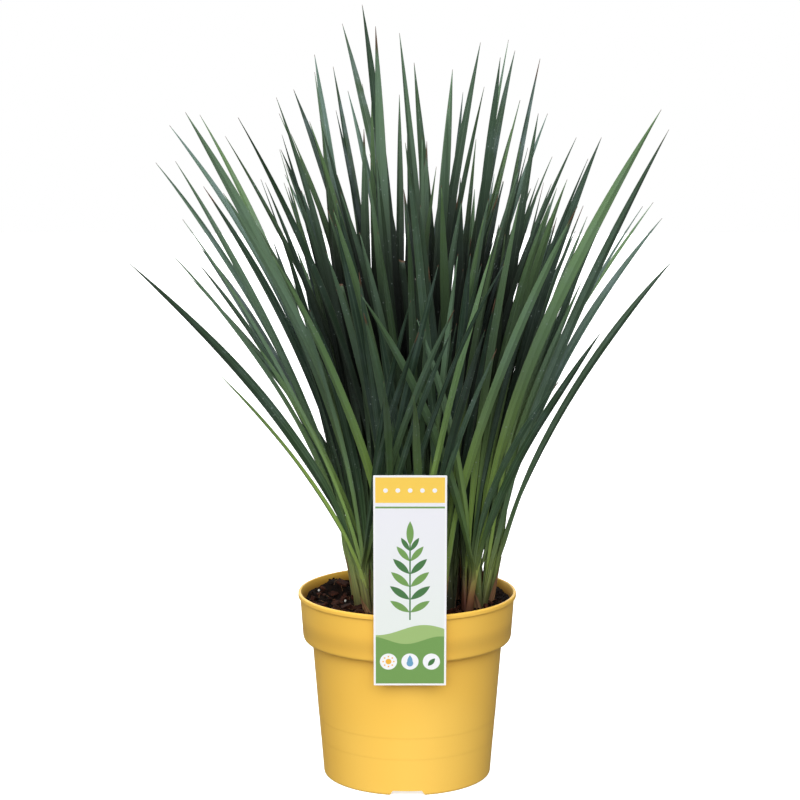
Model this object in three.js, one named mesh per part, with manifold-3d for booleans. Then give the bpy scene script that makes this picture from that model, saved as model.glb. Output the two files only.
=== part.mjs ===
// A potted blue flax lily: leafy shoots of long strap leaves in a yellow nursery pot filled with
// potting mix, with a plant label that straddles the rim.
//
// Millimetres, +Z up. The origin is the middle of the face that the pot stands on, and the label
// faces -Y, the side that the plant is looked at from.

import * as THREE from 'three';
import { mergeVertices } from 'three/addons/utils/BufferGeometryUtils.js';
import Module from 'manifold-3d';

const wasm = await Module();
wasm.setup();

// Pot
const POT_HEIGHT = 145;
const RIM_RADIUS = 85;
const LIP_INNER_RADIUS = 82.6;
const LIP_DROP = 3.2;
const LIP_ROUND = 1.2;
const LIP_BEVEL = 1;
const COLLAR_TOP_RADIUS = 83.6;
const COLLAR_FOOT_RADIUS = 81.1;
const COLLAR_FOOT_Z = 107.3;
const COLLAR_FOOT_ROUND = 3;
const WAIST_RADIUS = 74.2;
const BASE_RADIUS = 65.6;
const WALL = 1.8;
const FLOOR_UNDERSIDE_Z = 5;
const FOOT_RING_WIDTH = 2.6;
const FOOT_ROUND = 0.8;
const NOTCH_WIDTH = 24;
const NOTCH_HEIGHT = 3.8;
const NOTCH_COUNT = 3;
const DRAIN_RADIUS = 5;
const DRAIN_CIRCLE_RADIUS = 44;
const DRAIN_COUNT = 6;
const DRAIN_SIDES = 8;
const ROUND_SIDES = 40;

// Potting mix
const SOIL_Z = 130;
const SOIL_FLARE = 1.9;
const BANK_START = 56;
const BANK_HEIGHT = 8;
const BANK_STEPS = 2;
const CHIP_COUNT = 28;
const CHIP_SIZES = [6.3, 12.6];
const CHIP_WIDTHS = [0.4, 0.8];
const CHIP_THICKNESS = 0.5;
const CHIP_CORNERS = [0.7, 1.2];
const CHIP_TILT = 0.6;
const CHIP_REACH = 74;
const CHIP_SEED = 71;
const FIT_GAP = 0.3;

// Plant label: its card lies against the lip and the foot of the collar
const LABEL_WIDTH = 54;
const LABEL_LENGTH = 164;
const LABEL_THICKNESS = 0.6;
const LABEL_CENTRE_X = 1.8;
const LABEL_FOOT_Z = 91;
const TAIL_WIDTH = 24;
const TAIL_SOIL_RADIUS = 74;
const TAIL_DEPTH = 18;
const FOLD_DROP = 1.5;

// Shoots: the ones seen beside the label as [x, y, turn of the fan in degrees], the others by rule
const SEEN_SHOOTS = [
  [-36, 12, 10], [-25, 24, -25], [-39, 34, 35], [33, -9, 60], [46, -12, -15],
  [47, 14, 40], [63, 14, 5],
];
const SHOOT_COUNT = 28;
const SHOOT_SPACING = 14.4;
const CLUMP_CENTRE = [11, 14];
const CLUMP_RADII = [54, 46];
const SHOOT_REACH = 62;
const SHOOT_SEED = 5;
const SHOOT_SIZES = [0.9, 1.12];
const SPIRAL_STEPS = 96;
const SHOOT_DEPTH = 24;
const SHEATH_HEIGHT = 42;
const SHEATH_SIDES = 8;
const OVAL_POWER = 0.6;
const SHEATH_LEAN = 0.09;
const ROOT_SUNK = 14;

// Leaves. The tips that make the plant's outline are [x, z, leaf width], each seen from the eye
// against the plane y = 0, and the leaf ends somewhere on that line of sight. The two that reach
// farthest to the sides also say at which y
const EYE = [-5.6, -1655, 540];
const OUTLINE_TIPS = [
  [-214, 402, 8.5, -75], [203, 403, 6.5, 3], [192, 517, 9], [198, 502, 8.5], [-168, 515, 9],
  [-181, 409, 6], [-168, 392, 5.5], [-160, 401, 6], [-158, 413, 8], [-171, 434, 4.5],
  [-191, 477, 4.5], [-180, 505, 6], [-176, 478, 5], [-157, 513, 6], [-155, 459, 6],
  [-145, 471, 4], [-140, 454, 7], [-138, 497, 5], [-128, 511, 6], [-108, 462, 4.5],
  [-99, 526, 5.5], [-97, 514, 4.5], [-95, 498, 4.5], [-96, 487, 6.5], [-93, 468, 5.5],
  [-86, 532, 9], [-74, 508, 6.5], [-70, 558, 8], [-70, 545, 5.5], [-66, 509, 4.5],
  [-56, 549, 7], [-49, 581, 8], [-45, 531, 6.5], [-34, 595, 8], [-34, 536, 5.5],
  [-27, 531, 5], [-24, 579, 9], [-6, 574, 6.5], [-6, 528, 6.5], [5, 552, 8.5],
  [22, 474, 4.5], [31, 520, 6.5], [34, 547, 8.5], [42, 530, 5.5], [55, 567, 7.5],
  [58, 534, 4.5], [70, 556, 8], [76, 569, 6.5], [81, 561, 7.5], [85, 524, 6.5],
  [86, 493, 5.5], [99, 514, 6.5], [100, 555, 5.5], [106, 514, 7.5], [128, 425, 5.5],
  [128, 496, 4.5], [137, 480, 4.5], [134, 388, 5.5], [145, 424, 4.5], [147, 496, 8],
  [179, 444, 4.5], [187, 447, 6], [194, 435, 6.5], [93, 397, 5.5], [-146, 316, 4.5],
  [-118, 341, 4.5], [-109, 320, 4.5], [149, 348, 6.5], [118, 311, 5],
];
// Leaves that lean towards the eye or away from it, and the upright ones in the middle, as true
// [x, y, z, leaf width]
const INSIDE_TIPS = [
  [-17, -148, 330, 6.5], [4, -160, 322, 6], [12, -140, 366, 7], [52, -196, 372, 6.5],
  [-60, 197, 395, 7], [70, 190, 420, 7.5], [-95, -150, 420, 6.5], [118, -140, 452, 7],
  [13, -30, 478, 8.5], [9, 52, 492, 8.5], [17, 92, 470, 8], [6, -78, 448, 8],
  [64, 0, 490, 8.5], [82, -50, 474, 7.5], [96, 30, 480, 8], [76, 60, 460, 8],
  [108, -20, 462, 7.5], [88, 95, 470, 8], [118, 60, 455, 7], [58, -95, 455, 7.5],
];
const OUTLINE_DEPTH = 150;

// Stray leaves: each bows out of its fan towards the eye and ends across the others
const STRAY_COUNT = 30;
const STRAY_TRIES = 6000;
const STRAY_REACH = [25, 85];
const STRAY_DEPTHS = [-165, 60];
const STRAY_HEIGHTS = [345, 500];
const STRAY_BOWS = [8, 60];
const STRAY_WIDTHS = [4, 7];

// Fans: places for leaves in two rows, each with its own slope about the shoot's outward slope
const FAN_SIZE = 13;
const FAN_ROOT_REACH = 5.2;
const FAN_ROW = 2;
const FAN_SLOPE = 0.28;
const PLACE_SLOPE = (2 * FAN_SLOPE) / (FAN_SIZE - 1);
const OUTWARD_SLOPE = 0.4;
const WIDEST_MISS = 1.6;
const FIT_WEIGHTS = { sideways: 90, miss: 8, luck: 16 };

// Crown: the leaves inside the outline end under a dome
const CROWN_REACH = [232, 226];
const CROWN_HEIGHT = 430;
const CROWN_SHARES = [0.6, 0.95];
const SHORTEST_RISE = 150;
const INNER_SLOPES = [0.27, 0.43];
const FLANK_SLOPE = 0.2;
const PULLED_IN = [0.6, 1];
const DOME_STEPS = 4;
const SIDE_REACH = 203;
const DEPTH_REACH = 192;

// Leaf form, as shares of the leaf's length where it says so
const LEAF_WIDTHS = [4.8, 8.4];
const ROOT_WIDTH_SHARE = 0.45;
const WIDENING = 2;
const TAPER_START = 0.64;
const TAPER_POWER = 2.4;
const KEEL_DEPTH = 1.5;
const KEEL_WIDTH_SHARE = 0.6;
const ROOT_KEEL_DEPTH = 1.2;
const KEEL_DEEPENING = 4;
const START_SLOPES = [0.18, 0.58];
const BEND_HEIGHTS = [0.42, 0.56];
const EYE_TURNS = [0.5, 0.8];
const FREE_TURN = 1.2;
const ROOT_TURN = 0.5;
const MOST_TWIST = 1;
const TWIST_END = 0.41;
const LEAF_STEPS = [0, 0.2, 0.41, 0.62, 0.82];

// Clearance between leaves of different shoots and within a fan
const LEAF_GAP = 0.3;
const FAN_GAP = 0.1;
const SHEATHED_BRICKS = 2;
const SHEATHED_SHARE = 0.4;
const LEAF_SEED = 2020;
const TRIES = 120;
const PLACE_STRIDE = 7;

const COLOURS = {
  pot: { color: 0xe9b440, roughness: 0.45, metalness: 0 },
  soil: { color: 0x2b1a13, roughness: 0.95, metalness: 0 },
  label: { color: 0xf0f0f2, roughness: 0.4, metalness: 0 },
  leaf: { color: 0x2f5238, roughness: 0.55, metalness: 0 },
};

// Random draws that repeat on every run
function drawsFrom(seed) {
  let state = seed >>> 0;
  return () => {
    state = (state + 0x6d2b79f5) >>> 0;
    let mixed = Math.imul(state ^ (state >>> 15), state | 1);
    mixed ^= mixed + Math.imul(mixed ^ (mixed >>> 7), mixed | 61);
    return ((mixed ^ (mixed >>> 14)) >>> 0) / 4294967296;
  };
}

const between = (draw, low, high) => low + (high - low) * draw();
const spread = (draw, reach) => (draw() + draw() - 1) * reach;
const clamp = THREE.MathUtils.clamp;
const lerp = THREE.MathUtils.lerp;

// Closed meshes and solids
const MERGE_REACH = 1e-4;

function signedVolume(position, index) {
  const corners = [0, 1, 2].map(() => new THREE.Vector3());
  let volume = 0;
  for (let i = 0; i < index.length; i += 3) {
    corners.forEach((corner, k) => corner.fromBufferAttribute(position, index[i + k]));
    volume += corners[0].dot(corners[1].cross(corners[2])) / 6;
  }
  return volume;
}

function toSolid(geometry) {
  const bare = geometry.clone();
  bare.deleteAttribute('normal');
  bare.deleteAttribute('uv');
  const merged = mergeVertices(bare, MERGE_REACH);
  const source = merged.index.array;
  const triVerts = [];
  for (let i = 0; i < source.length; i += 3) {
    const [a, b, c] = [source[i], source[i + 1], source[i + 2]];
    if (a !== b && b !== c && c !== a) {
      triVerts.push(a, b, c);
    }
  }
  if (signedVolume(merged.attributes.position, triVerts) < 0) {
    triVerts.reverse();
  }
  const mesh = new wasm.Mesh({
    numProp: 3,
    vertProperties: new Float32Array(merged.attributes.position.array),
    triVerts: new Uint32Array(triVerts),
  });
  return new wasm.Manifold(mesh);
}

function toGeometry(solid) {
  const mesh = solid.getMesh();
  const geometry = new THREE.BufferGeometry();
  geometry.setAttribute('position', new THREE.BufferAttribute(mesh.vertProperties, 3));
  geometry.setIndex(new THREE.BufferAttribute(mesh.triVerts, 1));
  return geometry;
}

// The main body of a join, without loose scraps and with its sealed hollows filled
function mainBody(solid) {
  const bodies = solid.decompose();
  bodies.sort((a, b) => b.volume() - a.volume());
  return bodies[0];
}

function meanPoint(points) {
  const sum = new THREE.Vector3();
  points.forEach((point) => sum.add(point));
  return sum.divideScalar(points.length);
}

// A closed skin over rings of equally many points, with an end cap or a single end point. Each
// face is split along the diagonal that lies further out, so that a twisted stretch never cuts
// through its own other side
function loft(rings, endPoint) {
  const sides = rings[0].length;
  const points = rings.flat();
  const index = [];
  for (let ring = 0; ring + 1 < rings.length; ring += 1) {
    const centre = meanPoint([...rings[ring], ...rings[ring + 1]]);
    const reach = (m, n) => meanPoint([points[m], points[n]]).distanceTo(centre);
    for (let side = 0; side < sides; side += 1) {
      const next = (side + 1) % sides;
      const [a, b] = [ring * sides + side, ring * sides + next];
      const [c, d] = [b + sides, a + sides];
      if (reach(a, c) > reach(b, d)) {
        index.push(a, b, c, a, c, d);
      } else {
        index.push(a, b, d, b, c, d);
      }
    }
  }
  const last = (rings.length - 1) * sides;
  for (let side = 1; side + 1 < sides; side += 1) {
    index.push(0, side + 1, side);
    if (!endPoint) {
      index.push(last, last + side, last + side + 1);
    }
  }
  if (endPoint) {
    points.push(endPoint);
    for (let side = 0; side < sides; side += 1) {
      index.push(last + side, last + ((side + 1) % sides), points.length - 1);
    }
  }
  const geometry = new THREE.BufferGeometry().setFromPoints(points);
  geometry.setIndex(index);
  return geometry;
}

// A turned shape about Z from [radius, height] points
function turned(outline) {
  const points = outline.map(([radius, z]) => new THREE.Vector2(radius, z));
  return new THREE.LatheGeometry(points, ROUND_SIDES).rotateX(Math.PI / 2);
}

function arcPoints(centreRadius, centreZ, round, fromDegrees, toDegrees, steps) {
  return Array.from({ length: steps + 1 }, (_, i) => {
    const angle = THREE.MathUtils.degToRad(lerp(fromDegrees, toDegrees, i / steps));
    return [centreRadius + round * Math.cos(angle), centreZ + round * Math.sin(angle)];
  });
}

// Pot
const COLLAR_INNER_FOOT_Z = COLLAR_FOOT_Z + WALL;
const COLLAR_INNER_FOOT_RADIUS = COLLAR_FOOT_RADIUS - WALL;
const WAIST_INNER_RADIUS = WAIST_RADIUS - WALL;
const FLOOR_Z = FLOOR_UNDERSIDE_Z + WALL;
const FLOOR_RADIUS = BASE_RADIUS - WALL;

function makePot() {
  const outline = [
    [0, FLOOR_UNDERSIDE_Z],
    [BASE_RADIUS - FOOT_RING_WIDTH, FLOOR_UNDERSIDE_Z],
    [BASE_RADIUS - FOOT_RING_WIDTH, 0],
    [BASE_RADIUS - FOOT_ROUND, 0],
    [BASE_RADIUS, FOOT_ROUND],
    [WAIST_RADIUS, COLLAR_FOOT_Z],
    ...arcPoints(COLLAR_FOOT_RADIUS - COLLAR_FOOT_ROUND, COLLAR_FOOT_Z + COLLAR_FOOT_ROUND,
      COLLAR_FOOT_ROUND, -90, 0, 3),
    [COLLAR_TOP_RADIUS, POT_HEIGHT - LIP_DROP - LIP_BEVEL],
    [RIM_RADIUS, POT_HEIGHT - LIP_DROP],
    ...arcPoints(RIM_RADIUS - LIP_ROUND, POT_HEIGHT - LIP_ROUND, LIP_ROUND, 0, 90, 2),
    [LIP_INNER_RADIUS, POT_HEIGHT],
    [COLLAR_TOP_RADIUS - WALL, POT_HEIGHT - LIP_DROP],
    [COLLAR_INNER_FOOT_RADIUS, COLLAR_INNER_FOOT_Z],
    [WAIST_INNER_RADIUS, COLLAR_INNER_FOOT_Z],
    [FLOOR_RADIUS, FLOOR_Z],
    [0, FLOOR_Z],
  ];
  let pot = toSolid(turned(outline));
  for (let i = 0; i < NOTCH_COUNT; i += 1) {
    const angle = -Math.PI / 2 + (i * 2 * Math.PI) / NOTCH_COUNT;
    const notch = new THREE.BoxGeometry(FOOT_RING_WIDTH * 4, NOTCH_WIDTH, NOTCH_HEIGHT * 2);
    notch.translate(BASE_RADIUS, 0, 0).rotateZ(angle);
    pot = pot.subtract(toSolid(notch));
  }
  for (let i = 0; i < DRAIN_COUNT; i += 1) {
    const angle = (i * 2 * Math.PI) / DRAIN_COUNT;
    const drain = new THREE.CylinderGeometry(DRAIN_RADIUS, DRAIN_RADIUS, FLOOR_Z * 3, DRAIN_SIDES);
    drain.rotateX(Math.PI / 2).translate(DRAIN_CIRCLE_RADIUS, 0, 0).rotateZ(angle);
    pot = pot.subtract(toSolid(drain));
  }
  return pot;
}

// The places for leaves in a fan: two rows side by side, each leaf with a slope of its own, so
// that the leaves of a fan spread like a hand of cards and never cross
function fanPlaces(middleSlope) {
  return Array.from({ length: FAN_SIZE }, (_, i) => {
    const share = (2 * i) / (FAN_SIZE - 1) - 1;
    return {
      along: share * FAN_ROOT_REACH,
      across: i % 2 === 0 ? FAN_ROW : -FAN_ROW,
      slope: middleSlope + share * FAN_SLOPE,
      taken: false,
    };
  });
}

// Shoots: where each stands, how its fan of leaves is turned and which way it leans
function placeShoots() {
  const draw = drawsFrom(SHOOT_SEED);
  const places = SEEN_SHOOTS.map(([x, y, degrees]) => ({ x, y, degrees }));
  const goldenAngle = Math.PI * (3 - Math.sqrt(5));
  const crowded = (x, y) => places.some((p) => Math.hypot(p.x - x, p.y - y) < SHOOT_SPACING);
  for (let k = 0; places.length < SHOOT_COUNT; k += 1) {
    const radius = Math.sqrt(k / SPIRAL_STEPS) % 1;
    const angle = k * goldenAngle;
    const x = CLUMP_CENTRE[0] + CLUMP_RADII[0] * radius * Math.cos(angle);
    const y = CLUMP_CENTRE[1] + CLUMP_RADII[1] * radius * Math.sin(angle);
    const degrees = between(draw, 0, 180);
    if (!crowded(x, y) && Math.hypot(x, y) < SHOOT_REACH) {
      places.push({ x, y, degrees });
    }
  }
  return places.map(({ x, y, degrees }) => {
    const turn = THREE.MathUtils.degToRad(degrees);
    const outX = (x - CLUMP_CENTRE[0]) / CLUMP_RADII[0];
    const outY = (y - CLUMP_CENTRE[1]) / CLUMP_RADII[1];
    const along = new THREE.Vector3(Math.cos(turn), Math.sin(turn), 0);
    const outward = new THREE.Vector3(outX, outY, 0).multiplyScalar(OUTWARD_SLOPE);
    return {
      foot: new THREE.Vector3(x, y, SOIL_Z),
      turn,
      lean: new THREE.Vector3(outX * SHEATH_LEAN, outY * SHEATH_LEAN, 1),
      along,
      across: new THREE.Vector3(-Math.sin(turn), Math.cos(turn), 0),
      outward,
      size: between(draw, ...SHOOT_SIZES),
      places: fanPlaces(outward.dot(along)),
      leaves: [],
    };
  });
}

// The sheath's boxy oval at one height above the soil, or the hole for it with a gap
const SHEATH_FOOT = { z: -SHOOT_DEPTH, along: 5, across: 3.6 };
const SHEATH_TOP = { z: SHEATH_HEIGHT, along: 7.4, across: 4.6 };

const boxy = (share) => Math.sign(share) * Math.abs(share) ** OVAL_POWER;

function sheathRing(shoot, level, gap) {
  const centre = shoot.foot.clone().addScaledVector(shoot.lean, level.z);
  return Array.from({ length: SHEATH_SIDES }, (_, i) => {
    const angle = ((i + 0.5) * 2 * Math.PI) / SHEATH_SIDES;
    return centre.clone()
      .addScaledVector(shoot.along, (level.along * shoot.size + gap) * boxy(Math.cos(angle)))
      .addScaledVector(shoot.across, (level.across * shoot.size + gap) * boxy(Math.sin(angle)));
  });
}

function makeSheath(shoot) {
  return toSolid(loft([sheathRing(shoot, SHEATH_FOOT, 0), sheathRing(shoot, SHEATH_TOP, 0)]));
}

function makeHole(shoot) {
  const floor = { ...SHEATH_FOOT, z: SHEATH_FOOT.z - FIT_GAP };
  return toSolid(loft([sheathRing(shoot, floor, FIT_GAP), sheathRing(shoot, SHEATH_TOP, FIT_GAP)]));
}

// Leaves: each is a keeled strap on a quadratic curve from its root in the sheath to its tip
function leafWidthAt(leaf, t) {
  const grow = Math.min(1, ROOT_WIDTH_SHARE + WIDENING * t);
  const taper = 1 - Math.max(0, (t - TAPER_START) / (1 - TAPER_START)) ** TAPER_POWER;
  return leaf.width * grow * taper;
}

function keelDepthAt(leaf, t) {
  const flatLimit = leafWidthAt(leaf, t) * KEEL_WIDTH_SHARE;
  return Math.min(KEEL_DEPTH, flatLimit, ROOT_KEEL_DEPTH + KEEL_DEEPENING * t);
}

function leafRing(leaf, t) {
  const centre = leaf.curve.getPoint(t);
  const tangent = leaf.curve.getTangent(t);
  const turn = leaf.sideAngle + leaf.twist * Math.min(1, t / TWIST_END);
  const side = new THREE.Vector3(Math.cos(turn), Math.sin(turn), 0);
  side.addScaledVector(tangent, -side.dot(tangent)).normalize();
  const under = tangent.clone().cross(side).multiplyScalar(leaf.underSign);
  const half = leafWidthAt(leaf, t) / 2;
  return {
    points: [
      centre.clone().addScaledVector(side, -half),
      centre.clone().addScaledVector(side, half),
      centre.clone().addScaledVector(under, keelDepthAt(leaf, t)),
    ],
    axes: [tangent, side, under],
  };
}

// The way round from one line to another, which point both ways
function nearestTurn(from, to) {
  const turn = to - from;
  return turn - Math.PI * Math.round(turn / Math.PI);
}

// A leaf from its place in a fan to a tip. Its flat side faces along the fan at the root and turns
// on the way up. The leaves of the outline and the strays turn it towards the eye, the others
// across their lean
function shapeLeaf(shoot, place, { tip, width, facesEye, bow = 0 }, draw) {
  const root = shoot.foot.clone()
    .addScaledVector(shoot.lean, SHEATH_HEIGHT - ROOT_SUNK)
    .addScaledVector(shoot.along, place.along * shoot.size)
    .addScaledVector(shoot.across, place.across * shoot.size);
  const chord = tip.clone().sub(root);
  const startSlope = between(draw, ...START_SLOPES);
  const bendHeight = between(draw, ...BEND_HEIGHTS) * chord.z;
  const bend = root.clone().add(new THREE.Vector3(
    (chord.x * startSlope * bendHeight) / chord.z,
    (chord.y * startSlope * bendHeight) / chord.z - bow,
    bendHeight,
  ));
  const acrossLean = Math.atan2(chord.y, chord.x) + Math.PI / 2;
  const eyeTurn = nearestTurn(acrossLean, 0) * between(draw, ...EYE_TURNS);
  const finalAngle = acrossLean + (facesEye ? eyeTurn : spread(draw, FREE_TURN));
  const sideAngle = shoot.turn + Math.PI / 2
    + clamp(nearestTurn(shoot.turn + Math.PI / 2, finalAngle), -ROOT_TURN, ROOT_TURN) * draw();
  const leaf = {
    shoot,
    place,
    width,
    tip,
    curve: new THREE.QuadraticBezierCurve3(root, bend, tip),
    sideAngle,
    twist: clamp(nearestTurn(sideAngle, finalAngle), -MOST_TWIST, MOST_TWIST),
    underSign: 1,
  };
  const middle = leafRing(leaf, 0.5);
  const outward = middle.axes[2].x * chord.x + middle.axes[2].y * chord.y;
  leaf.underSign = outward < 0 ? -1 : 1;
  leaf.rings = LEAF_STEPS.map((t) => leafRing(leaf, t));
  leaf.bricks = leafBricks(leaf);
  return leaf;
}

// Clearance: every stretch of a leaf, sheath or label is a brick of a few corners
const PARALLEL = 1e-3;

function makeBrick(corners, axes, owner, order) {
  const low = [Infinity, Infinity, Infinity];
  const high = [-Infinity, -Infinity, -Infinity];
  for (const corner of corners) {
    const place = corner.toArray();
    place.forEach((value, k) => {
      low[k] = Math.min(low[k], value);
      high[k] = Math.max(high[k], value);
    });
  }
  return {
    corners: corners.map((corner) => corner.toArray()),
    axes: axes.map((axis) => axis.toArray()),
    low,
    high,
    owner,
    order,
  };
}

// The first brick is the stretch in which the leaves of a fan sheathe each other
function leafBricks(leaf) {
  const [root, first, ...others] = leaf.rings.map((ring) => ring.points);
  const exit = root.map((point, k) => point.clone().lerp(first[k], SHEATHED_SHARE));
  const stations = [root, exit, first, ...others, [leaf.tip]];
  const axes = [leaf.rings[0].axes, ...leaf.rings.map((ring) => ring.axes)];
  return axes.map((directions, i) => (
    makeBrick([...stations[i], ...stations[i + 1]], directions, leaf.shoot, i)));
}

function cross(a, b) {
  return [a[1] * b[2] - a[2] * b[1], a[2] * b[0] - a[0] * b[2], a[0] * b[1] - a[1] * b[0]];
}

function extent(corners, axis) {
  let low = Infinity;
  let high = -Infinity;
  for (const corner of corners) {
    const value = corner[0] * axis[0] + corner[1] * axis[1] + corner[2] * axis[2];
    low = Math.min(low, value);
    high = Math.max(high, value);
  }
  return [low, high];
}

function partedAlong(a, b, axis, gap) {
  const length = Math.hypot(...axis);
  if (length < PARALLEL) {
    return false;
  }
  const [aLow, aHigh] = extent(a.corners, axis);
  const [bLow, bHigh] = extent(b.corners, axis);
  return Math.max(bLow - aHigh, aLow - bHigh) >= gap * length;
}

function apart(a, b, gap) {
  for (let k = 0; k < 3; k += 1) {
    if (b.low[k] - a.high[k] >= gap || a.low[k] - b.high[k] >= gap) {
      return true;
    }
  }
  return a.axes.some((axis) => partedAlong(a, b, axis, gap))
    || b.axes.some((axis) => partedAlong(a, b, axis, gap))
    || a.axes.some((m) => b.axes.some((n) => partedAlong(a, b, cross(m, n), gap)));
}

// Leaves of one fan sheathe each other in their first stretches, so there they may touch
function clearOf(leaf, placed) {
  return leaf.bricks.every((brick) => placed.every((other) => {
    if (brick.owner !== other.owner) {
      return apart(brick, other, LEAF_GAP);
    }
    const sheathed = brick.order < SHEATHED_BRICKS && other.order < SHEATHED_BRICKS;
    return sheathed || apart(brick, other, FAN_GAP);
  }));
}

function sheathBrick(shoot) {
  const corners = [...sheathRing(shoot, SHEATH_FOOT, 0), ...sheathRing(shoot, SHEATH_TOP, 0)];
  return makeBrick(corners, [shoot.lean.clone().normalize(), shoot.along, shoot.across], shoot, -1);
}

// Label: a side outline in Y and Z, of the card with its fold, or of the tail
const LABEL_TILT = Math.atan2(RIM_RADIUS - COLLAR_FOOT_RADIUS, POT_HEIGHT - LIP_DROP - COLLAR_FOOT_Z);
const LABEL_BACK_Y = -(RIM_RADIUS + FIT_GAP);
const LABEL_TOP_Z = LABEL_FOOT_Z + LABEL_LENGTH * Math.cos(LABEL_TILT);

function cardBackY(z) {
  return LABEL_BACK_Y - (z - (POT_HEIGHT - LIP_DROP)) * Math.tan(LABEL_TILT);
}

function slab(outline, width) {
  const shape = new THREE.Shape(outline.map(([y, z]) => new THREE.Vector2(y, z)));
  const geometry = new THREE.ExtrudeGeometry(shape, { depth: width, bevelEnabled: false });
  geometry.translate(0, 0, -width / 2);
  geometry.rotateX(Math.PI / 2).rotateZ(Math.PI / 2);
  return geometry.translate(LABEL_CENTRE_X, 0, 0);
}

function labelOutlines(gap) {
  const footY = cardBackY(LABEL_FOOT_Z);
  const topY = cardBackY(LABEL_TOP_Z);
  const tailY = -TAIL_SOIL_RADIUS;
  const tailZ = SOIL_Z - TAIL_DEPTH;
  const slope = (tailY - topY) / (LABEL_TOP_Z - tailZ);
  const foldZ = LABEL_TOP_Z - FOLD_DROP;
  const tailFront = (z) => topY + (LABEL_TOP_Z - z) * slope;
  const thick = LABEL_THICKNESS;
  return {
    card: [[footY, LABEL_FOOT_Z], [topY, LABEL_TOP_Z], [topY - thick, LABEL_TOP_Z],
      [footY - thick, LABEL_FOOT_Z]],
    tail: [[topY - thick / 2, LABEL_TOP_Z], [tailFront(foldZ) + thick, foldZ],
      [tailFront(tailZ) + thick + gap, tailZ - gap], [tailFront(tailZ) - gap, tailZ - gap],
      [topY - thick / 2 - gap, LABEL_TOP_Z]],
  };
}

function makeLabel() {
  const { card, tail } = labelOutlines(0);
  return toSolid(slab(card, LABEL_WIDTH)).add(toSolid(slab(tail, TAIL_WIDTH)));
}

function labelBricks() {
  const { card, tail } = labelOutlines(0);
  return [[card, LABEL_WIDTH], [tail, TAIL_WIDTH]].map(([outline, width]) => {
    const corners = outline.flatMap(([y, z]) => [-1, 1].map((side) => (
      new THREE.Vector3(LABEL_CENTRE_X + (side * width) / 2, y, z))));
    const rise = new THREE.Vector3(0, outline[1][0] - outline[0][0], outline[1][1] - outline[0][1]);
    rise.normalize();
    const across = new THREE.Vector3(1, 0, 0);
    return makeBrick(corners, [across, rise, rise.clone().cross(across)], null, 0);
  });
}

// Foliage: first the leaves of the outline, then leaves inside it until the plant is full, and
// last the strays
function onLineOfSight(x, z, y) {
  const along = (y - EYE[1]) / -EYE[1];
  return new THREE.Vector3(lerp(EYE[0], x, along), y, lerp(EYE[2], z, along));
}

function slopeTo(shoot, tip) {
  const rise = tip.z - shoot.foot.z;
  return new THREE.Vector3((tip.x - shoot.foot.x) / rise, (tip.y - shoot.foot.y) / rise, 0);
}

// The free place in a fan whose own slope is nearest to a leaf's, and how far off that is
function nearestPlace(shoot, slope) {
  let best = { place: null, miss: Infinity };
  for (const place of shoot.places) {
    const miss = Math.abs(slope.dot(shoot.along) - place.slope) / PLACE_SLOPE;
    if (!place.taken && miss < best.miss) {
      best = { place, miss };
    }
  }
  return best;
}

function leafTo(shoots, look, draw) {
  let best = null;
  for (const shoot of shoots) {
    const slope = slopeTo(shoot, look.tip);
    const { place, miss } = nearestPlace(shoot, slope);
    const sideways = Math.abs(slope.dot(shoot.across) - shoot.outward.dot(shoot.across));
    const score = sideways * FIT_WEIGHTS.sideways + miss * FIT_WEIGHTS.miss
      + draw() * FIT_WEIGHTS.luck;
    if (miss < WIDEST_MISS && (!best || score < best.score)) {
      best = { shoot, place, score };
    }
  }
  return best && shapeLeaf(best.shoot, best.place, look, draw);
}

function outlineLeaf(shoots, [x, z, width, depth], draw) {
  const tip = onLineOfSight(x, z, depth ?? spread(draw, OUTLINE_DEPTH));
  return leafTo(shoots, { tip, width, facesEye: true }, draw);
}

function insideLeaf(shoots, [x, y, z, width], draw) {
  return leafTo(shoots, { tip: new THREE.Vector3(x, y, z), width, facesEye: false }, draw);
}

// A leaf for any free place, which leans over the middle of the clump
function strayLeaf(shoots, draw) {
  const shoot = shoots[Math.floor(draw() * shoots.length)];
  const place = shoot.places[Math.floor(draw() * FAN_SIZE)];
  if (place.taken) {
    return null;
  }
  const inward = shoot.foot.x > CLUMP_CENTRE[0] ? -1 : 1;
  const tip = new THREE.Vector3(
    shoot.foot.x + inward * between(draw, ...STRAY_REACH),
    between(draw, ...STRAY_DEPTHS),
    between(draw, ...STRAY_HEIGHTS),
  );
  const width = between(draw, ...STRAY_WIDTHS);
  const bow = between(draw, ...STRAY_BOWS);
  return shapeLeaf(shoot, place, { tip, width, facesEye: true, bow }, draw);
}

// The crown's height above the soil at a place
function crownHeight(x, y) {
  const distance = Math.hypot(x / CROWN_REACH[0], y / CROWN_REACH[1]);
  return CROWN_HEIGHT * Math.sqrt(Math.max(0, 1 - distance ** 2));
}

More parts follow.
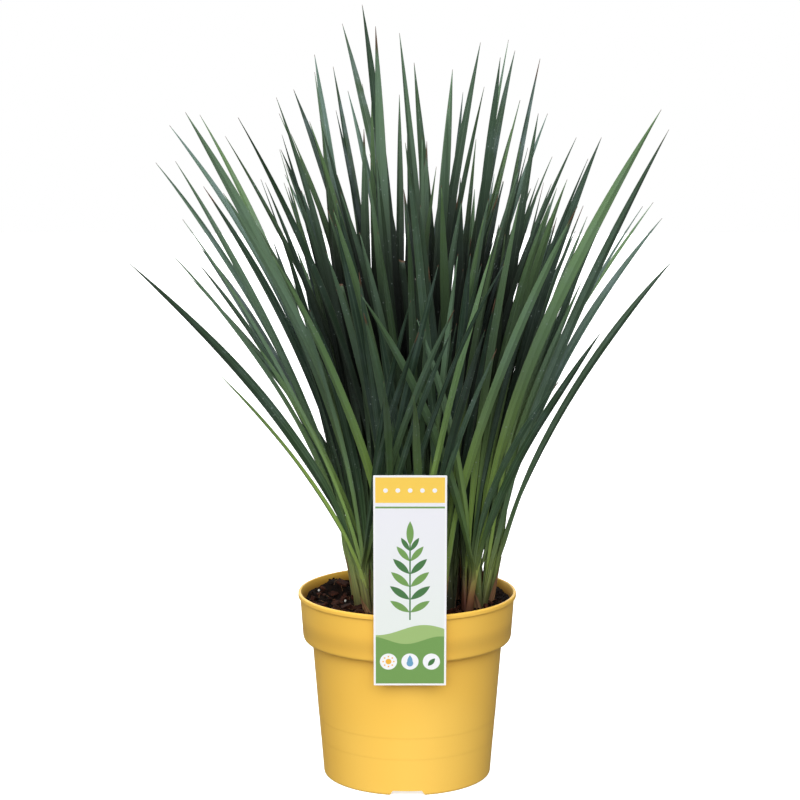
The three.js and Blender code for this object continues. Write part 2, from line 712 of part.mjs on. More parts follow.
// A leaf for one free place, which ends at its share of the crown's height
function innerLeaf(shoot, place, draw) {
  const slope = shoot.along.clone().multiplyScalar(place.slope + spread(draw, PLACE_SLOPE));
  slope.addScaledVector(shoot.across, shoot.outward.dot(shoot.across) + spread(draw, FLANK_SLOPE));
  const excess = Math.hypot(slope.x / INNER_SLOPES[0], slope.y / INNER_SLOPES[1]);
  slope.multiplyScalar(excess > 1 ? between(draw, ...PULLED_IN) / excess : 1);
  const share = between(draw, ...CROWN_SHARES);
  let rise = CROWN_HEIGHT;
  for (let step = 0; step < DOME_STEPS; step += 1) {
    const [x, y] = [shoot.foot.x + slope.x * rise, shoot.foot.y + slope.y * rise];
    rise = (rise + share * crownHeight(x, y)) / 2;
  }
  const tip = shoot.foot.clone().addScaledVector(slope, rise);
  tip.z += rise;
  if (Math.abs(tip.x) > SIDE_REACH || Math.abs(tip.y) > DEPTH_REACH || rise < SHORTEST_RISE) {
    return null;
  }
  const width = between(draw, ...LEAF_WIDTHS);
  return shapeLeaf(shoot, place, { tip, width, facesEye: false }, draw);
}

// Every leaf has draws of its own, and is drawn again until it is clear of those before it
function growLeaves(shoots) {
  const placed = [...shoots.map(sheathBrick), ...labelBricks()];
  let leafNumber = 0;
  const grow = (propose, tries = TRIES) => {
    const draw = drawsFrom(LEAF_SEED + leafNumber);
    leafNumber += 1;
    for (let attempt = 0; attempt < tries; attempt += 1) {
      const leaf = propose(draw);
      if (leaf && clearOf(leaf, placed)) {
        leaf.place.taken = true;
        leaf.shoot.leaves.push(leaf);
        placed.push(...leaf.bricks);
        return;
      }
    }
  };
  INSIDE_TIPS.forEach((tip) => grow((draw) => insideLeaf(shoots, tip, draw)));
  OUTLINE_TIPS.forEach((tip) => grow((draw) => outlineLeaf(shoots, tip, draw)));
  for (let order = 0; order < FAN_SIZE; order += 1) {
    for (const shoot of shoots) {
      const place = shoot.places[(order * PLACE_STRIDE) % FAN_SIZE];
      if (!place.taken) {
        grow((draw) => innerLeaf(shoot, place, draw));
      }
    }
  }
  for (let i = 0; i < STRAY_COUNT; i += 1) {
    grow((draw) => strayLeaf(shoots, draw), STRAY_TRIES);
  }
}

function makeShoot(shoot) {
  const blades = shoot.leaves.map((leaf) => (
    toSolid(loft(leaf.rings.map((ring) => ring.points), leaf.tip))));
  return mainBody(wasm.Manifold.union([makeSheath(shoot), ...blades]));
}

// Potting mix: a plug that follows the inside of the pot and rises in a bank at its wall, with
// bark chips in its surface
const SOIL_EDGE_RADIUS = COLLAR_INNER_FOOT_RADIUS - FIT_GAP + SOIL_FLARE;

function soilHeight(radius) {
  return SOIL_Z + BANK_HEIGHT * THREE.MathUtils.smoothstep(radius, BANK_START, SOIL_EDGE_RADIUS);
}

function makeChip(draw) {
  const chip = new THREE.BoxGeometry(1, between(draw, ...CHIP_WIDTHS), CHIP_THICKNESS);
  chip.deleteAttribute('normal').deleteAttribute('uv');
  const block = mergeVertices(chip, MERGE_REACH);
  const position = block.attributes.position;
  const size = between(draw, ...CHIP_SIZES);
  for (let i = 0; i < position.count; i += 1) {
    const corner = new THREE.Vector3().fromBufferAttribute(position, i);
    corner.multiplyScalar(size * between(draw, ...CHIP_CORNERS));
    position.setXYZ(i, ...corner.toArray());
  }
  block.rotateX(spread(draw, CHIP_TILT)).rotateY(spread(draw, CHIP_TILT));
  block.rotateZ(between(draw, 0, Math.PI));
  const radius = CHIP_REACH * Math.sqrt(draw());
  const angle = between(draw, 0, 2 * Math.PI);
  return block.translate(
    radius * Math.cos(angle),
    radius * Math.sin(angle),
    soilHeight(radius),
  );
}

function makeSoil(shoots) {
  const collarRadius = COLLAR_INNER_FOOT_RADIUS - FIT_GAP;
  const bank = Array.from({ length: BANK_STEPS + 1 }, (_, i) => {
    const radius = lerp(SOIL_EDGE_RADIUS, BANK_START, i / BANK_STEPS);
    return [radius, soilHeight(radius)];
  });
  const plug = toSolid(turned([
    [0, FLOOR_Z + FIT_GAP],
    [FLOOR_RADIUS - FIT_GAP, FLOOR_Z + FIT_GAP],
    [WAIST_INNER_RADIUS - FIT_GAP, COLLAR_INNER_FOOT_Z + FIT_GAP],
    [collarRadius, COLLAR_INNER_FOOT_Z + FIT_GAP],
    ...bank,
    [0, SOIL_Z],
  ]));
  const draw = drawsFrom(CHIP_SEED);
  const chips = Array.from({ length: CHIP_COUNT }, () => toSolid(makeChip(draw)));
  const slot = toSolid(slab(labelOutlines(FIT_GAP).tail, TAIL_WIDTH + 2 * FIT_GAP));
  const holes = shoots.map(makeHole);
  const filled = wasm.Manifold.union([plug, ...chips]);
  return mainBody(filled.subtract(wasm.Manifold.union([slot, ...holes])));
}

// Assembly
const plant = new THREE.Group();

function addPiece(name, solid, look) {
  const mesh = new THREE.Mesh(toGeometry(solid), new THREE.MeshStandardMaterial(look));
  mesh.name = name;
  plant.add(mesh);
}

const shoots = placeShoots();
growLeaves(shoots);
addPiece('pot', makePot(), COLOURS.pot);
addPiece('soil', makeSoil(shoots), COLOURS.soil);
addPiece('label', makeLabel(), COLOURS.label);
shoots.forEach((shoot, i) => {
  addPiece(`shoot_${String(i + 1).padStart(2, '0')}`, makeShoot(shoot), COLOURS.leaf);
});

export default plant;
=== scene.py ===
import math
import random
from functools import partialmethod

import bmesh
import bpy
import numpy as np
from mathutils import Matrix, Vector, noise


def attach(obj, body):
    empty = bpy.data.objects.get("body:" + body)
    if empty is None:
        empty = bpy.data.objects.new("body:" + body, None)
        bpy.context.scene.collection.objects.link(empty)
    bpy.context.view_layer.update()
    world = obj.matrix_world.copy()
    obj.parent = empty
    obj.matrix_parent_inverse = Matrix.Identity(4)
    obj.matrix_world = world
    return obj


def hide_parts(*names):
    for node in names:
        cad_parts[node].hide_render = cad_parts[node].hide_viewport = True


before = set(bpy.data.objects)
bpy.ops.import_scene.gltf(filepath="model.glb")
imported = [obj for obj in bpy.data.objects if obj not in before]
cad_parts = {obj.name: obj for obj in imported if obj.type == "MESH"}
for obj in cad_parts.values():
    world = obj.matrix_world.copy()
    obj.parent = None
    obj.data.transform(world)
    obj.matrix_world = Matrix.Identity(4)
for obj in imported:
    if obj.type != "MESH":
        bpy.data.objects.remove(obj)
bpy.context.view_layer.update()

MM = 0.001
UP = Vector((0, 0, 1))

# Camera: where the eye is, how far it looks down, and the lens on a sensor 36 mm wide
EYE = Vector((-5.6, -1655, 540)) * MM
EYE_TILT = 0.147
SENSOR_WIDTH = 36
LENS = 97.65

# Light: the sky's strength, and each sun by its strength, and its spread and turns in degrees
SKY = 0.17
SUNS = {"key": (4.15, 84, (48, 0, -5)), "back": (1.7, 80, (-62, 0, 12))}
FLOOR_SIZE = 12
FLOOR_GLOW = 0.7

# Pot, in millimetres and degrees, from the lip down to the foot
POT_SIDES = 160
POT_CREASE = 32
POT_HEIGHT = 145
RIM_RADIUS = 85
LIP_INNER_RADIUS = 82.6
LIP_INNER_ROUND = 0.9
LIP_DROP = 3.2
LIP_ROUND = 1.2
BEAD_DROP = 1.2
BEAD_ROUND = 0.6
BEAD_EDGE_DROP = 0.1
BEAD_EDGE_ROUND = 0.5
COLLAR_TOP_RADIUS = 83.6
COLLAR_FOOT_RADIUS = 81.1
COLLAR_FOOT_Z = 107.3
COLLAR_FOOT_ROUND = 3
WAIST_RADIUS = 74.2
WAIST_ROUND = 0.7
BASE_RADIUS = 65.6
WALL = 1.8
STEP_BEVEL = 0.6
STEP_DRAFT = 0.1
FLOOR_UNDERSIDE_Z = 5
FLOOR_ROUND = 1
FOOT_RING_WIDTH = 2.6
FOOT_RING_ROUND = 0.5
FOOT_ROUND = 1.2
LEDGES = ((29, 0.1), (46, 0.12))
LEDGE_SLOPE = 0.25
NOTCH_WIDTHS = (22, 27)
NOTCH_HEIGHT = 3.8
NOTCH_ANGLES = (-90, 30, 150)
DRAIN_RADIUS = 5
DRAIN_CIRCLE_RADIUS = 44
DRAIN_ANGLES = (0, 60, 120, 180, 240, 300)

# The pot's inside, in millimetres: painted shade on its inner wall above the mix, and a band that
# is darker brown towards the mix, with dirt specks
INSIDE_RADIUS = 82.2
INSIDE_Z = (110, 130)
DARK_BAND_Z = 140.5

# Rows of points that keep the shading of the pot's walls even beside its rounded edges
ROWS_ABOVE_FOOT = (0.3, 0.9)
ROWS_BELOW_COLLAR = (1.6, 0.9)
ROW_ABOVE_COLLAR_FOOT = 0.6
ROWS_BELOW_LIP = (2.2, 1.6)

# Potting mix: the plug and its uneven surface, in millimetres
SOIL_Z = 130
SOIL_RADIUS = 80.2
SOIL_RINGS = 80
PLUG_GAP = 0.5
PLUG_FOOT_GAP = 0.1
PLUG_STEP_GAP = 0.2
TOP_REACH = 0.1
WAVE_LENGTH = 17
WAVE_HEIGHT = 1.6
LUMP_LENGTH = 4.5
LUMP_HEIGHT = 0.9
CRUMBLE_LENGTH = 1.7
CRUMBLE_HEIGHT = 0.5
BANK_RADII = (56, 80.9)
BANK_HEIGHT = 8
BANK_UNEVENNESS = 0.3
MOUND_PLACE = (-52, 44)
MOUND_RADIUS = 18
MOUND_HEIGHT = 5

# What lies strewn on the mix: the seed, count, margin to the wall and most tilt of each kind
CRUMBS = (11, 3400, 1.5, 0.8)
SMALL_CHIPS = (12, 300, 5, 0.6)
GRIT = (14, 16, 4, 1)

# The form of what lies there: sizes in millimetres, and other measures as shares of them
CRUMB_SIZES = (0.7, 2.3)
CRUMB_LENGTHS = (0.8, 1.6)
CRUMB_HEIGHTS = (0.6, 1)
CRUMB_LIFTS = (0, 0.4)
CRUMB_SHAPES = 7
CRUMB_ROUGHNESS = 0.3
CHIP_SHAPES = 9
CHIP_WEAR = (0.72, 1.1)
CHIP_BEVEL = 0.05
CHIP_CREASE = 35
CHIP_PROUD = 0.5
CHIP_FIT = 0.95
LEAST_CHIP_CORNERS = 4
CHIP_LENGTHS = (3.5, 10)
CHIP_WIDTHS = (0.3, 0.7)
CHIP_HEIGHTS = (0.15, 0.4)
CHIP_LIFTS = (0.1, 0.6)
GRIT_SIZES = (1.2, 2.6)
GRIT_LIFT = 0.3

# Materials of the mix: the colours of the dips, the lumps and the fine grains
MIX_COLOURS = {
    "coir_mix": ((11, 5, 3), (25, 14, 8), (44, 26, 17)),
    "bark": ((36, 16, 9), (66, 33, 21), (92, 54, 38)),
    "perlite": ((214, 212, 204), (236, 234, 228), (200, 196, 186)),
    "threads": ((120, 86, 58), (150, 112, 78), (176, 140, 104)),
}
MIX_ROUGHNESS = 0.9
BARK_ROUGHNESS = 0.75

# Fine roots and coir threads, in millimetres, with turns in radians
FIBRE_SEED = 13
FIBRE_COUNT = 110
FIBRE_MARGIN = 9
FIBRE_RADIUS = 0.11
FIBRE_POINTS = 7
FIBRE_STEP = 1.5
FIBRE_TURNS = (-0.7, 0.7)
FIBRE_LIFT = 0.7
FIBRE_WAVES = (-0.3, 0.9)
FIBRE_END_LIFT = -0.4

# Shoots, with heights in millimetres above the mix; the leaves of a fan stand in two rows
ROWS = (1, -1)
CLUMP_CENTRE = (11, 14)
CLUMP_RADII = (54, 46)
SHEATH_LEAN = 0.09
SHEATH_BOTTOM = -7
SHEATH_SOLID_FOOT = -24
SHEATH_SOLID_TOP = 42
SHEATH_SOLID_ALONG = 4.77
SHEATH_ALONG = (5.1, 7.1)
SHEATH_ACROSS = (3.6, 4.4)
SHEATH_LEAST = (1, 0.6)
SHEATH_WRAP = (96, 40)
NEST_STEP = (0.75, 0.48)
SECOND_ROW_INSET = 0.5
FOLD_OPENS = (16, 54)

# The short dry scales at the foot, in millimetres; a wither of 2 or more marks them
SCALE_CHANCE = 0.7
SCALE_WITHER = 2
SCALE_HEIGHTS = (14, 46)
SCALE_ROWS = 12
SCALE_THICKNESS = 0.22
SCALE_POINT = 0.03
SCALE_TAPER = 2.2
SCALE_PROUD = 0.5
SCALE_FLARE = 1.1

# Leaves: where the solid's rings lie on each, and the strap's form, in millimetres and shares
RING_SHARES = (0.82, 0.62, 0.41, 0.2)
TWIST_END = RING_SHARES[2]
COLUMNS = (-1, -0.82, -0.45, -0.1, 0, 0.1, 0.45, 0.82, 1)
STRAP_COLUMNS = len(COLUMNS) - 1
ROOT_WIDTH_SHARE = 0.38
WIDENING = 2
TAPER_START = 0.64
TAPER_POWER = 2.4
SHEATH_ROWS = 7
BLADE_ROWS = 38
BLADE_THICKNESS = 0.45
THICKNESS_SHARES = (0.6, 1.5)
TIP_THINNING = 0.7
RIB_WIDTH = 0.2
CHANNEL_DEPTH = 1.9
CHANNEL_SHARE = 0.52
TIP_HALF = 0.12
ROW_CROWDING = 1.25
CURL_START = 0.7
USUAL_LENGTH = 400
DRIFTS = (-4.5, 4.5)
SAGS = (-2.5, 2.5)
ROLLS = (-0.5, 0.5)
ROLLING = (0.1, 0.55)
FACINGS = (0, 0.75)
MOST_FACING = 0.8
FACING_SHARE = 0.6
RED_WITHER = 0.02
BROWN_WITHERS = (0.82, 0.86)
CUT_WITHER = 0.94
CUTS = (0.76, 0.92)
CUT_REACH = 115
HIGHEST_CUT = 480
WOBBLE = 0.16
WOBBLE_PACE = 7
WOBBLE_PHASES = 20
FOLDS = (0.5, 1.7)
MARGIN_ROLL = 0.3
SWAY = 1.1
SWAY_PACE = 3.1
SWAY_LAYERS = 40
LEAF_LOOK_SEED = 900

# Reading the solids, in metres
MERGE_REACH = 2e-6
SHORTEST_TIP_EDGE = 0.012

# Painted shade: how deep inside the clump a leaf lies, from the leaves' reach at heights a band
# apart, which darkens it
BAND = 25
BAND_HEIGHTS = (165, 540)
REACH_STEPS = 14
REACH_QUANTILE = 0.9
DEEP_SHARES = (0.42, 1.0)
OPEN_HEIGHTS = (370, 530)

# Label, in millimetres
LABEL_WIDTH = 54
LABEL_LENGTH = 164
LABEL_THICKNESS = 0.6
LABEL_CENTRE_X = 1.8
LABEL_FOOT_Z = 91
LABEL_GAP = 0.3
LABEL_CORNER = 0.7
LABEL_ROWS = 20
LABEL_CREASE = 30
LABEL_FOLD = 6
FRONT_NORMAL = -0.9
TAIL_WIDTH = 24
TAIL_SOIL_RADIUS = 74
TAIL_DEPTH = 18

# The print, in millimetres from the middle and the foot of the card. The sprig has each pair
# of leaves by its height, angle and length, and a hill its level, swell, shift and height.
SOFT_EDGE = (-0.1, 0.1)
DISC_BLUR = 0.15
PRINT_MARGIN = 1.5
SPRIG_LEAVES = ((58, 58, 17), (68, 54, 18), (78, 50, 18), (88, 46, 17), (98, 40, 15), (106, 32, 12))
SPRIG_LEAF_FOOT = 0.3
SPRIG_LEAF_WIDTH = 0.3
STALK_HALF = 0.55
STALK_ENDS = (52, 112)
TOP_LEAF = (0, 110, 0, 19, 5.4)
FAR_HILL = (44, 0.09, 0.6, 4)
NEAR_HILL = (36, 0.12, -1.2, 3)
SIGN_PLACES = (-16, 0, 16)
SIGN_HEIGHT = 19
SIGN_RADIUS = 6.4
SUN_RADIUS = 2.2
RAY_REACH = 4
RAY_RADIUS = 0.6
RULE_HEIGHT = 139.5
RULE_HALF = 0.7
HEADER_FOOT = 143
DOT_PLACES = (-18, -9, 0, 9, 18)
DOT_HEIGHT = 152.5
DOT_RADIUS = 1.7


def colour(red, green, blue):
    """A shader colour from the values 0 to 255 that a screen shows"""
    def linear(value):
        value /= 255
        return value / 12.92 if value <= 0.04045 else ((value + 0.055) / 1.055) ** 2.4
    return (linear(red), linear(green), linear(blue), 1)


class Value:
    """A node's output, used in expressions as if it were a number"""

    def __init__(self, shade, socket):
        self.shade = shade
        self.socket = socket

    def maths(self, operation, *others):
        sockets = dict(enumerate((self, *others)))
        return self.shade.node("ShaderNodeMath", {"operation": operation}, sockets)

    __add__ = __radd__ = partialmethod(maths, "ADD")
    __mul__ = __rmul__ = partialmethod(maths, "MULTIPLY")
    __sub__ = partialmethod(maths, "SUBTRACT")
    __truediv__ = partialmethod(maths, "DIVIDE")
    below = partialmethod(maths, "LESS_THAN")
    above = partialmethod(maths, "GREATER_THAN")
    least = partialmethod(maths, "MINIMUM")
    most = partialmethod(maths, "MAXIMUM")
    size = partialmethod(maths, "ABSOLUTE")
    sine = partialmethod(maths, "SINE")
    root = partialmethod(maths, "SQRT")

    def __rsub__(self, other):
        return self.shade.node("ShaderNodeMath", {"operation": "SUBTRACT"}, {0: other, 1: self})

    def rise(self, low, high):
        """0 at low and 1 at high, with a soft step between them"""
        return self.shade.node(
            "ShaderNodeMapRange", {"interpolation_type": "SMOOTHSTEP"},
            {"Value": self, "From Min": low, "From Max": high})


class Shade:
    """A material and its nodes"""

    def __init__(self, name):
        self.material = bpy.data.materials.new(name)
        self.material.use_nodes = True
        self.tree = self.material.node_tree
        self.tree.nodes.clear()

    def node(self, kind, settings=None, sockets=None, output=0):
        made = self.tree.nodes.new(kind)
        for name, value in (settings or {}).items():
            setattr(made, name, value)
        for key, value in (sockets or {}).items():
            if isinstance(value, Value):
                self.tree.links.new(value.socket, made.inputs[key])
            else:
                made.inputs[key].default_value = value
        return Value(self, made.outputs[output]) if made.outputs else None

    def place(self):
        return self.node("ShaderNodeTexCoord", output="Object")

    def attribute(self, name):
        return self.node("ShaderNodeAttribute", {"attribute_name": name}, output="Vector")

    def parts(self, vector):
        split = self.node("ShaderNodeSeparateXYZ", sockets={0: vector}).socket.node
        return [Value(self, output) for output in split.outputs]

    def vector(self, x, y, z):
        return self.node("ShaderNodeCombineXYZ", sockets={0: x, 1: y, 2: z})

    def grain(self, vector, scale, detail, roughness=0.5):
        return self.node("ShaderNodeTexNoise", sockets={
            "Vector": vector, "Scale": scale, "Detail": detail, "Roughness": roughness})

    def cells(self, vector, scale):
        return self.node("ShaderNodeTexVoronoi", sockets={"Vector": vector, "Scale": scale},
                         output="Distance")

    def mix(self, factor, first, second):
        return self.node("ShaderNodeMix", {"data_type": "RGBA"},
                         {0: factor, 6: first, 7: second}, output=2)

    def layered(self, base, layers):
        """The base under layers, each a share and a colour, the top one last"""
        for share, layer in layers:
            base = self.mix(share, base, layer)
        return base

    def bump(self, height, distance, strength):
        return self.node("ShaderNodeBump", sockets={
            "Height": height, "Distance": distance, "Strength": strength})

    def finish(self, sockets):
        surface = self.node("ShaderNodeBsdfPrincipled", sockets=sockets)
        self.node("ShaderNodeOutputMaterial", sockets={"Surface": surface})
        return self.material


def smooth_step(low, high, value):
    share = min(1.0, max(0.0, (value - low) / (high - low)))
    return share * share * (3 - 2 * share)


def lerp(first, second, share):
    return first + (second - first) * share


def between(draw, limits):
    return draw.uniform(*limits)


def on_circle(x, y, radius, degrees):
    turn = math.radians(degrees)
    return x + radius * math.cos(turn), y + radius * math.sin(turn)


def as_mesh(name, made):
    mesh = bpy.data.meshes.new(name)
    made.to_mesh(mesh)
    made.free()
    return mesh


def as_object(name, data):
    holder = bpy.data.objects.new(name, data)
    bpy.context.scene.collection.objects.link(holder)
    return holder


def add_piece(name, made, node, materials, crease=None):
    """The finished bmesh as a piece that stands for a CAD node, sharp past the crease's degrees"""
    mesh = as_mesh(name, made)
    mesh.shade_smooth()
    if crease is not None:
        mesh.set_sharp_from_angle(angle=math.radians(crease))
    for material in materials:
        mesh.materials.append(material)
    piece = as_object(name, mesh)
    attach(piece, "root")
    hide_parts(node)


# Reading the shoots from the frame


def merged(node):
    made = bmesh.new()
    made.from_mesh(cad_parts[node].data)
    bmesh.ops.remove_doubles(made, verts=made.verts, dist=MERGE_REACH)
    return made


def is_tip(vertex):
    return len(vertex.link_edges) == 3 and all(
        edge.calc_length() > SHORTEST_TIP_EDGE for edge in vertex.link_edges)


def read_rings(tip):
    """The solid's rings of three corners, walked down from the leaf's tip"""
    rings = []
    walked = {tip}
    ring = {edge.other_vert(tip) for edge in tip.link_edges}
    for _ in RING_SHARES:
        rings.append([corner.co.copy() for corner in ring])
        walked |= ring
        ring = {edge.other_vert(corner) for corner in ring for edge in corner.link_edges} - walked
    return rings


def read_leaf(tip):
    """A leaf's curve, width and turns, from the corners of its solid"""
    rings = []
    for corners in read_rings(tip):
        pairs = [(corners[i], corners[(i + 1) % 3], corners[(i + 2) % 3]) for i in range(3)]
        rings.append(max(pairs, key=lambda pair: (pair[0] - pair[1]).length))
    end = tip.co.copy()
    centres = [(first + second) / 2 for first, second, _ in rings]
    shares = np.array([[(1 - t) ** 2, 2 * t * (1 - t)] for t in RING_SHARES])
    rest = np.array([centre - end * t * t for centre, t in zip(centres, RING_SHARES)])
    root, bend = (Vector(row) for row in np.linalg.lstsq(shares, rest, rcond=None)[0])
    leaf = {"root": root, "bend": bend, "end": end}
    turns = []
    for (first, second, keel), centre, t in zip(rings, centres, RING_SHARES):
        tangent = tangent_at(leaf, t)
        side = (second - first).normalized()
        if tangent.cross(side).dot(keel - centre) < 0:
            side = -side
        flat = side * tangent.z - tangent * side.z
        turns.append(math.atan2(flat.y, flat.x))
    leaf["width"] = (rings[2][0] - rings[2][1]).length
    leaf["turn"] = turns[2]
    swing = (turns[3] - turns[2] + math.pi) % (2 * math.pi) - math.pi
    leaf["twist"] = swing / (RING_SHARES[2] - RING_SHARES[3])
    return leaf


def point_at(leaf, t):
    return leaf["root"] * (1 - t) ** 2 + leaf["bend"] * 2 * t * (1 - t) + leaf["end"] * t * t


def tangent_at(leaf, t):
    slope = (leaf["bend"] - leaf["root"]) * (1 - t) + (leaf["end"] - leaf["bend"]) * t
    return slope.normalized()


def axes_at(leaf, t):
    """The leaf's directions along, across and out of its underside"""
    turn = leaf["turn"] + leaf["twist"] * max(0, TWIST_END - t)
    tangent = tangent_at(leaf, t)
    side = Vector((math.cos(turn), math.sin(turn), 0))
    side = (side - tangent * side.dot(tangent)).normalized()
    return tangent, side, tangent.cross(side)


def read_shoot(node):
    """Where a shoot stands, which way its fan lies, and its leaves"""
    made = merged(node)
    floor = min(vertex.co.z for vertex in made.verts)
    feet = [vertex.co.copy() for vertex in made.verts if vertex.co.z < floor + MERGE_REACH]
    centre = sum(feet, Vector()) / len(feet)
    spread = np.array([(foot - centre)[:2] for foot in feet])
    _, axes = np.linalg.eigh(spread.T @ spread)
    along = Vector((*axes[:, 1], 0)).normalized()
    reach = max(abs((foot - centre).dot(along)) for foot in feet)
    lean = Vector(((centre.x / MM - CLUMP_CENTRE[0]) / CLUMP_RADII[0] * SHEATH_LEAN,
                   (centre.y / MM - CLUMP_CENTRE[1]) / CLUMP_RADII[1] * SHEATH_LEAN, 1))
    shoot = {
        "foot": centre - lean * SHEATH_SOLID_FOOT * MM,
        "lean": lean,
        "along": along,
        "across": UP.cross(along),
        "size": reach / (SHEATH_SOLID_ALONG * MM),
        "leaves": [read_leaf(vertex) for vertex in made.verts if is_tip(vertex)],
    }
    made.free()
    return shoot


def clump_bands(shoots):
    """The clump's middle and its leaves' reach from there, band by band up its height"""
    points = np.array([
        point_at(leaf, t) / MM for shoot in shoots for leaf in shoot["leaves"]
        for t in np.linspace(0, 1, REACH_STEPS)])
    heights = np.arange(*BAND_HEIGHTS, BAND)
    middles = []
    for height in heights:
        near = points[abs(points[:, 2] - height) < BAND][:, :2]
        middle = near.mean(axis=0)
        distances = np.hypot(*(near - middle).T)
        middles.append((*middle, np.quantile(distances, REACH_QUANTILE)))
    return heights, np.array(middles)


def painted_shade_at(clump, point):
    """Painted shade for a point: 1 in the middle of the clump and 0 at its outside or near its top
    """
    heights, middles = clump
    x, y, z = point / MM
    middle_x, middle_y, reach = (np.interp(z, heights, column) for column in middles.T)
    share = math.hypot(x - middle_x, y - middle_y) / reach
    return (1 - smooth_step(*DEEP_SHARES, share)) * (1 - smooth_step(*OPEN_HEIGHTS, z))


# Leaves


def blade_row(leaf, t):
    """The upper surface's points across a blade"""
    _, side, under = axes_at(leaf, t)
    bow = math.sin(math.pi * t) * leaf["length"] / (USUAL_LENGTH * MM)
    shift = side * (leaf["drift"] * bow) + under * (leaf["sag"] * bow)
    wobble = WOBBLE * math.sin(WOBBLE_PACE * t + leaf["tint"] * WOBBLE_PHASES)
    roll = leaf["roll"] * smooth_step(*ROLLING, t) + wobble
    cosine, sine = math.cos(roll), math.sin(roll)
    side, under = side * cosine + under * sine, under * cosine - side * sine
    taper = 1 - max(0, (t - TAPER_START) / (1 - TAPER_START)) ** TAPER_POWER
    half = max(leaf["width"] / 2 * taper, TIP_HALF * MM)
    opened = min(1, ROOT_WIDTH_SHARE + WIDENING * t)
    channel = min(CHANNEL_DEPTH * MM, half * CHANNEL_SHARE) * leaf["fold"]
    depth = max(half * math.sqrt(1 - opened ** 2), channel)
    wave = noise.noise(Vector((t * SWAY_PACE, leaf["tint"] * SWAY_LAYERS,
                               leaf["wither"] * SWAY_LAYERS)))
    centre = point_at(leaf, t) + shift + side * (SWAY * MM * wave * math.sin(math.pi * t))
    row = []
    for u in COLUMNS:
        curl = MARGIN_ROLL * MM * taper * smooth_step(CURL_START, 1, abs(u))
        flat = half * opened * u
        row.append(centre + side * flat + under * (depth * (1 - abs(u)) + curl))
    return row


def sheath_row(shoot, leaf, height, wrap_share=1.0, proud=0.0):
    """The points across a leaf's sheath, which clasps the shoot at a height above the soil"""
    share = min(1, max(0, height / SHEATH_SOLID_TOP))
    inset = leaf["rank"] + (SECOND_ROW_INSET if leaf["row"] < 0 else 0)
    along, across = (
        max(least, lerp(*limits, share) * shoot["size"] - step * inset + proud)
        for least, limits, step in zip(SHEATH_LEAST, (SHEATH_ALONG, SHEATH_ACROSS), NEST_STEP))
    wrap = math.radians(lerp(*SHEATH_WRAP, share)) * wrap_share
    centre = shoot["foot"] + shoot["lean"] * height * MM
    return [
        centre
        + shoot["along"] * (leaf["row"] * along * MM * math.cos(u * wrap))
        + shoot["across"] * (leaf["hand"] * across * MM * math.sin(u * wrap))
        for u in COLUMNS
    ]


def blend_rows(first, second, share):
    return [a.lerp(b, share) for a, b in zip(first, second)]


def leaf_rows(shoot, leaf):
    """Rows of points from under the soil to the tip, each with its share of the leaf's length"""
    lowest_blade = FOLD_OPENS[0]
    rows = []
    for row in range(SHEATH_ROWS):
        height = lerp(SHEATH_BOTTOM, lowest_blade, row / SHEATH_ROWS)
        rows.append((0, sheath_row(shoot, leaf, height)))
    for row in range(BLADE_ROWS + 1):
        t = (row / BLADE_ROWS) ** ROW_CROWDING * leaf["cut"]
        blade = blade_row(leaf, t)
        height = (point_at(leaf, t).z - shoot["foot"].z) / MM
        opened = smooth_step(*FOLD_OPENS, height)
        if opened < 1:
            blade = blend_rows(sheath_row(shoot, leaf, height), blade, opened)
        rows.append((t, blade))
    return rows


def add_strap(made, rows, leaf, clump, thickness):
    """A strap with a thickness, on rows of points, with marks for its material"""
    strap = made.verts.layers.float_vector["strap"]
    traits = made.verts.layers.float_vector["traits"]
    stand = made.verts.layers.float_vector["stand"]
    middles = [points[STRAP_COLUMNS // 2] for _, points in rows]
    # Each row's painted shade from the middle of the clump, the shoot's tint and its height above
    # the mix
    stands = [(painted_shade_at(clump, middle), leaf["shoot_tint"], middle.z / MM - SOIL_Z)
              for middle in middles]
    last = len(rows) - 1
    grid = bmesh.ops.create_grid(made, x_segments=STRAP_COLUMNS, y_segments=last, size=1)
    alongs = [0.0]
    for (_, below), (_, above) in zip(rows, rows[1:]):
        alongs.append(alongs[-1] + (above[0] - below[0]).length / MM)
    tops = {}
    for vertex in grid["verts"]:
        column = round((vertex.co.x + 1) / 2 * STRAP_COLUMNS)
        row = round((vertex.co.y + 1) / 2 * last)
        t, points = rows[row]
        vertex.co = points[column]
        vertex[strap] = (COLUMNS[column], alongs[row], 0)
        vertex[traits] = (leaf["tint"], t / leaf["cut"], leaf["wither"])
        vertex[stand] = stands[row]
        rib = math.exp(-(COLUMNS[column] / RIB_WIDTH) ** 2)
        thick = lerp(*THICKNESS_SHARES, rib) * (1 - TIP_THINNING * t)
        tops[tuple(vertex[strap])] = (vertex.co.copy(), thick)
    faces = list(dict.fromkeys(face for vertex in grid["verts"] for face in vertex.link_faces))
    for face in faces:
        face.normal_update()
    known = set(grid["verts"])
    shell = bmesh.ops.solidify(made, geom=faces, thickness=thickness * MM)
    for vertex in shell["geom"]:
        if isinstance(vertex, bmesh.types.BMVert) and vertex not in known:
            top, thick = tops[tuple(vertex[strap])]
            vertex.co = top + (vertex.co - top) * thick
            u, along, _ = vertex[strap]
            vertex[strap] = (u, along, 1)


def turn_to_front(leaf, part):
    """Part of the roll that would turn a leaf's flat side to the front of the plant"""
    _, side, under = axes_at(leaf, FACING_SHARE)
    turn = math.atan2(-side.y, under.y)
    turn -= math.pi * round(turn / math.pi)
    return min(MOST_FACING, max(-MOST_FACING, turn * part))


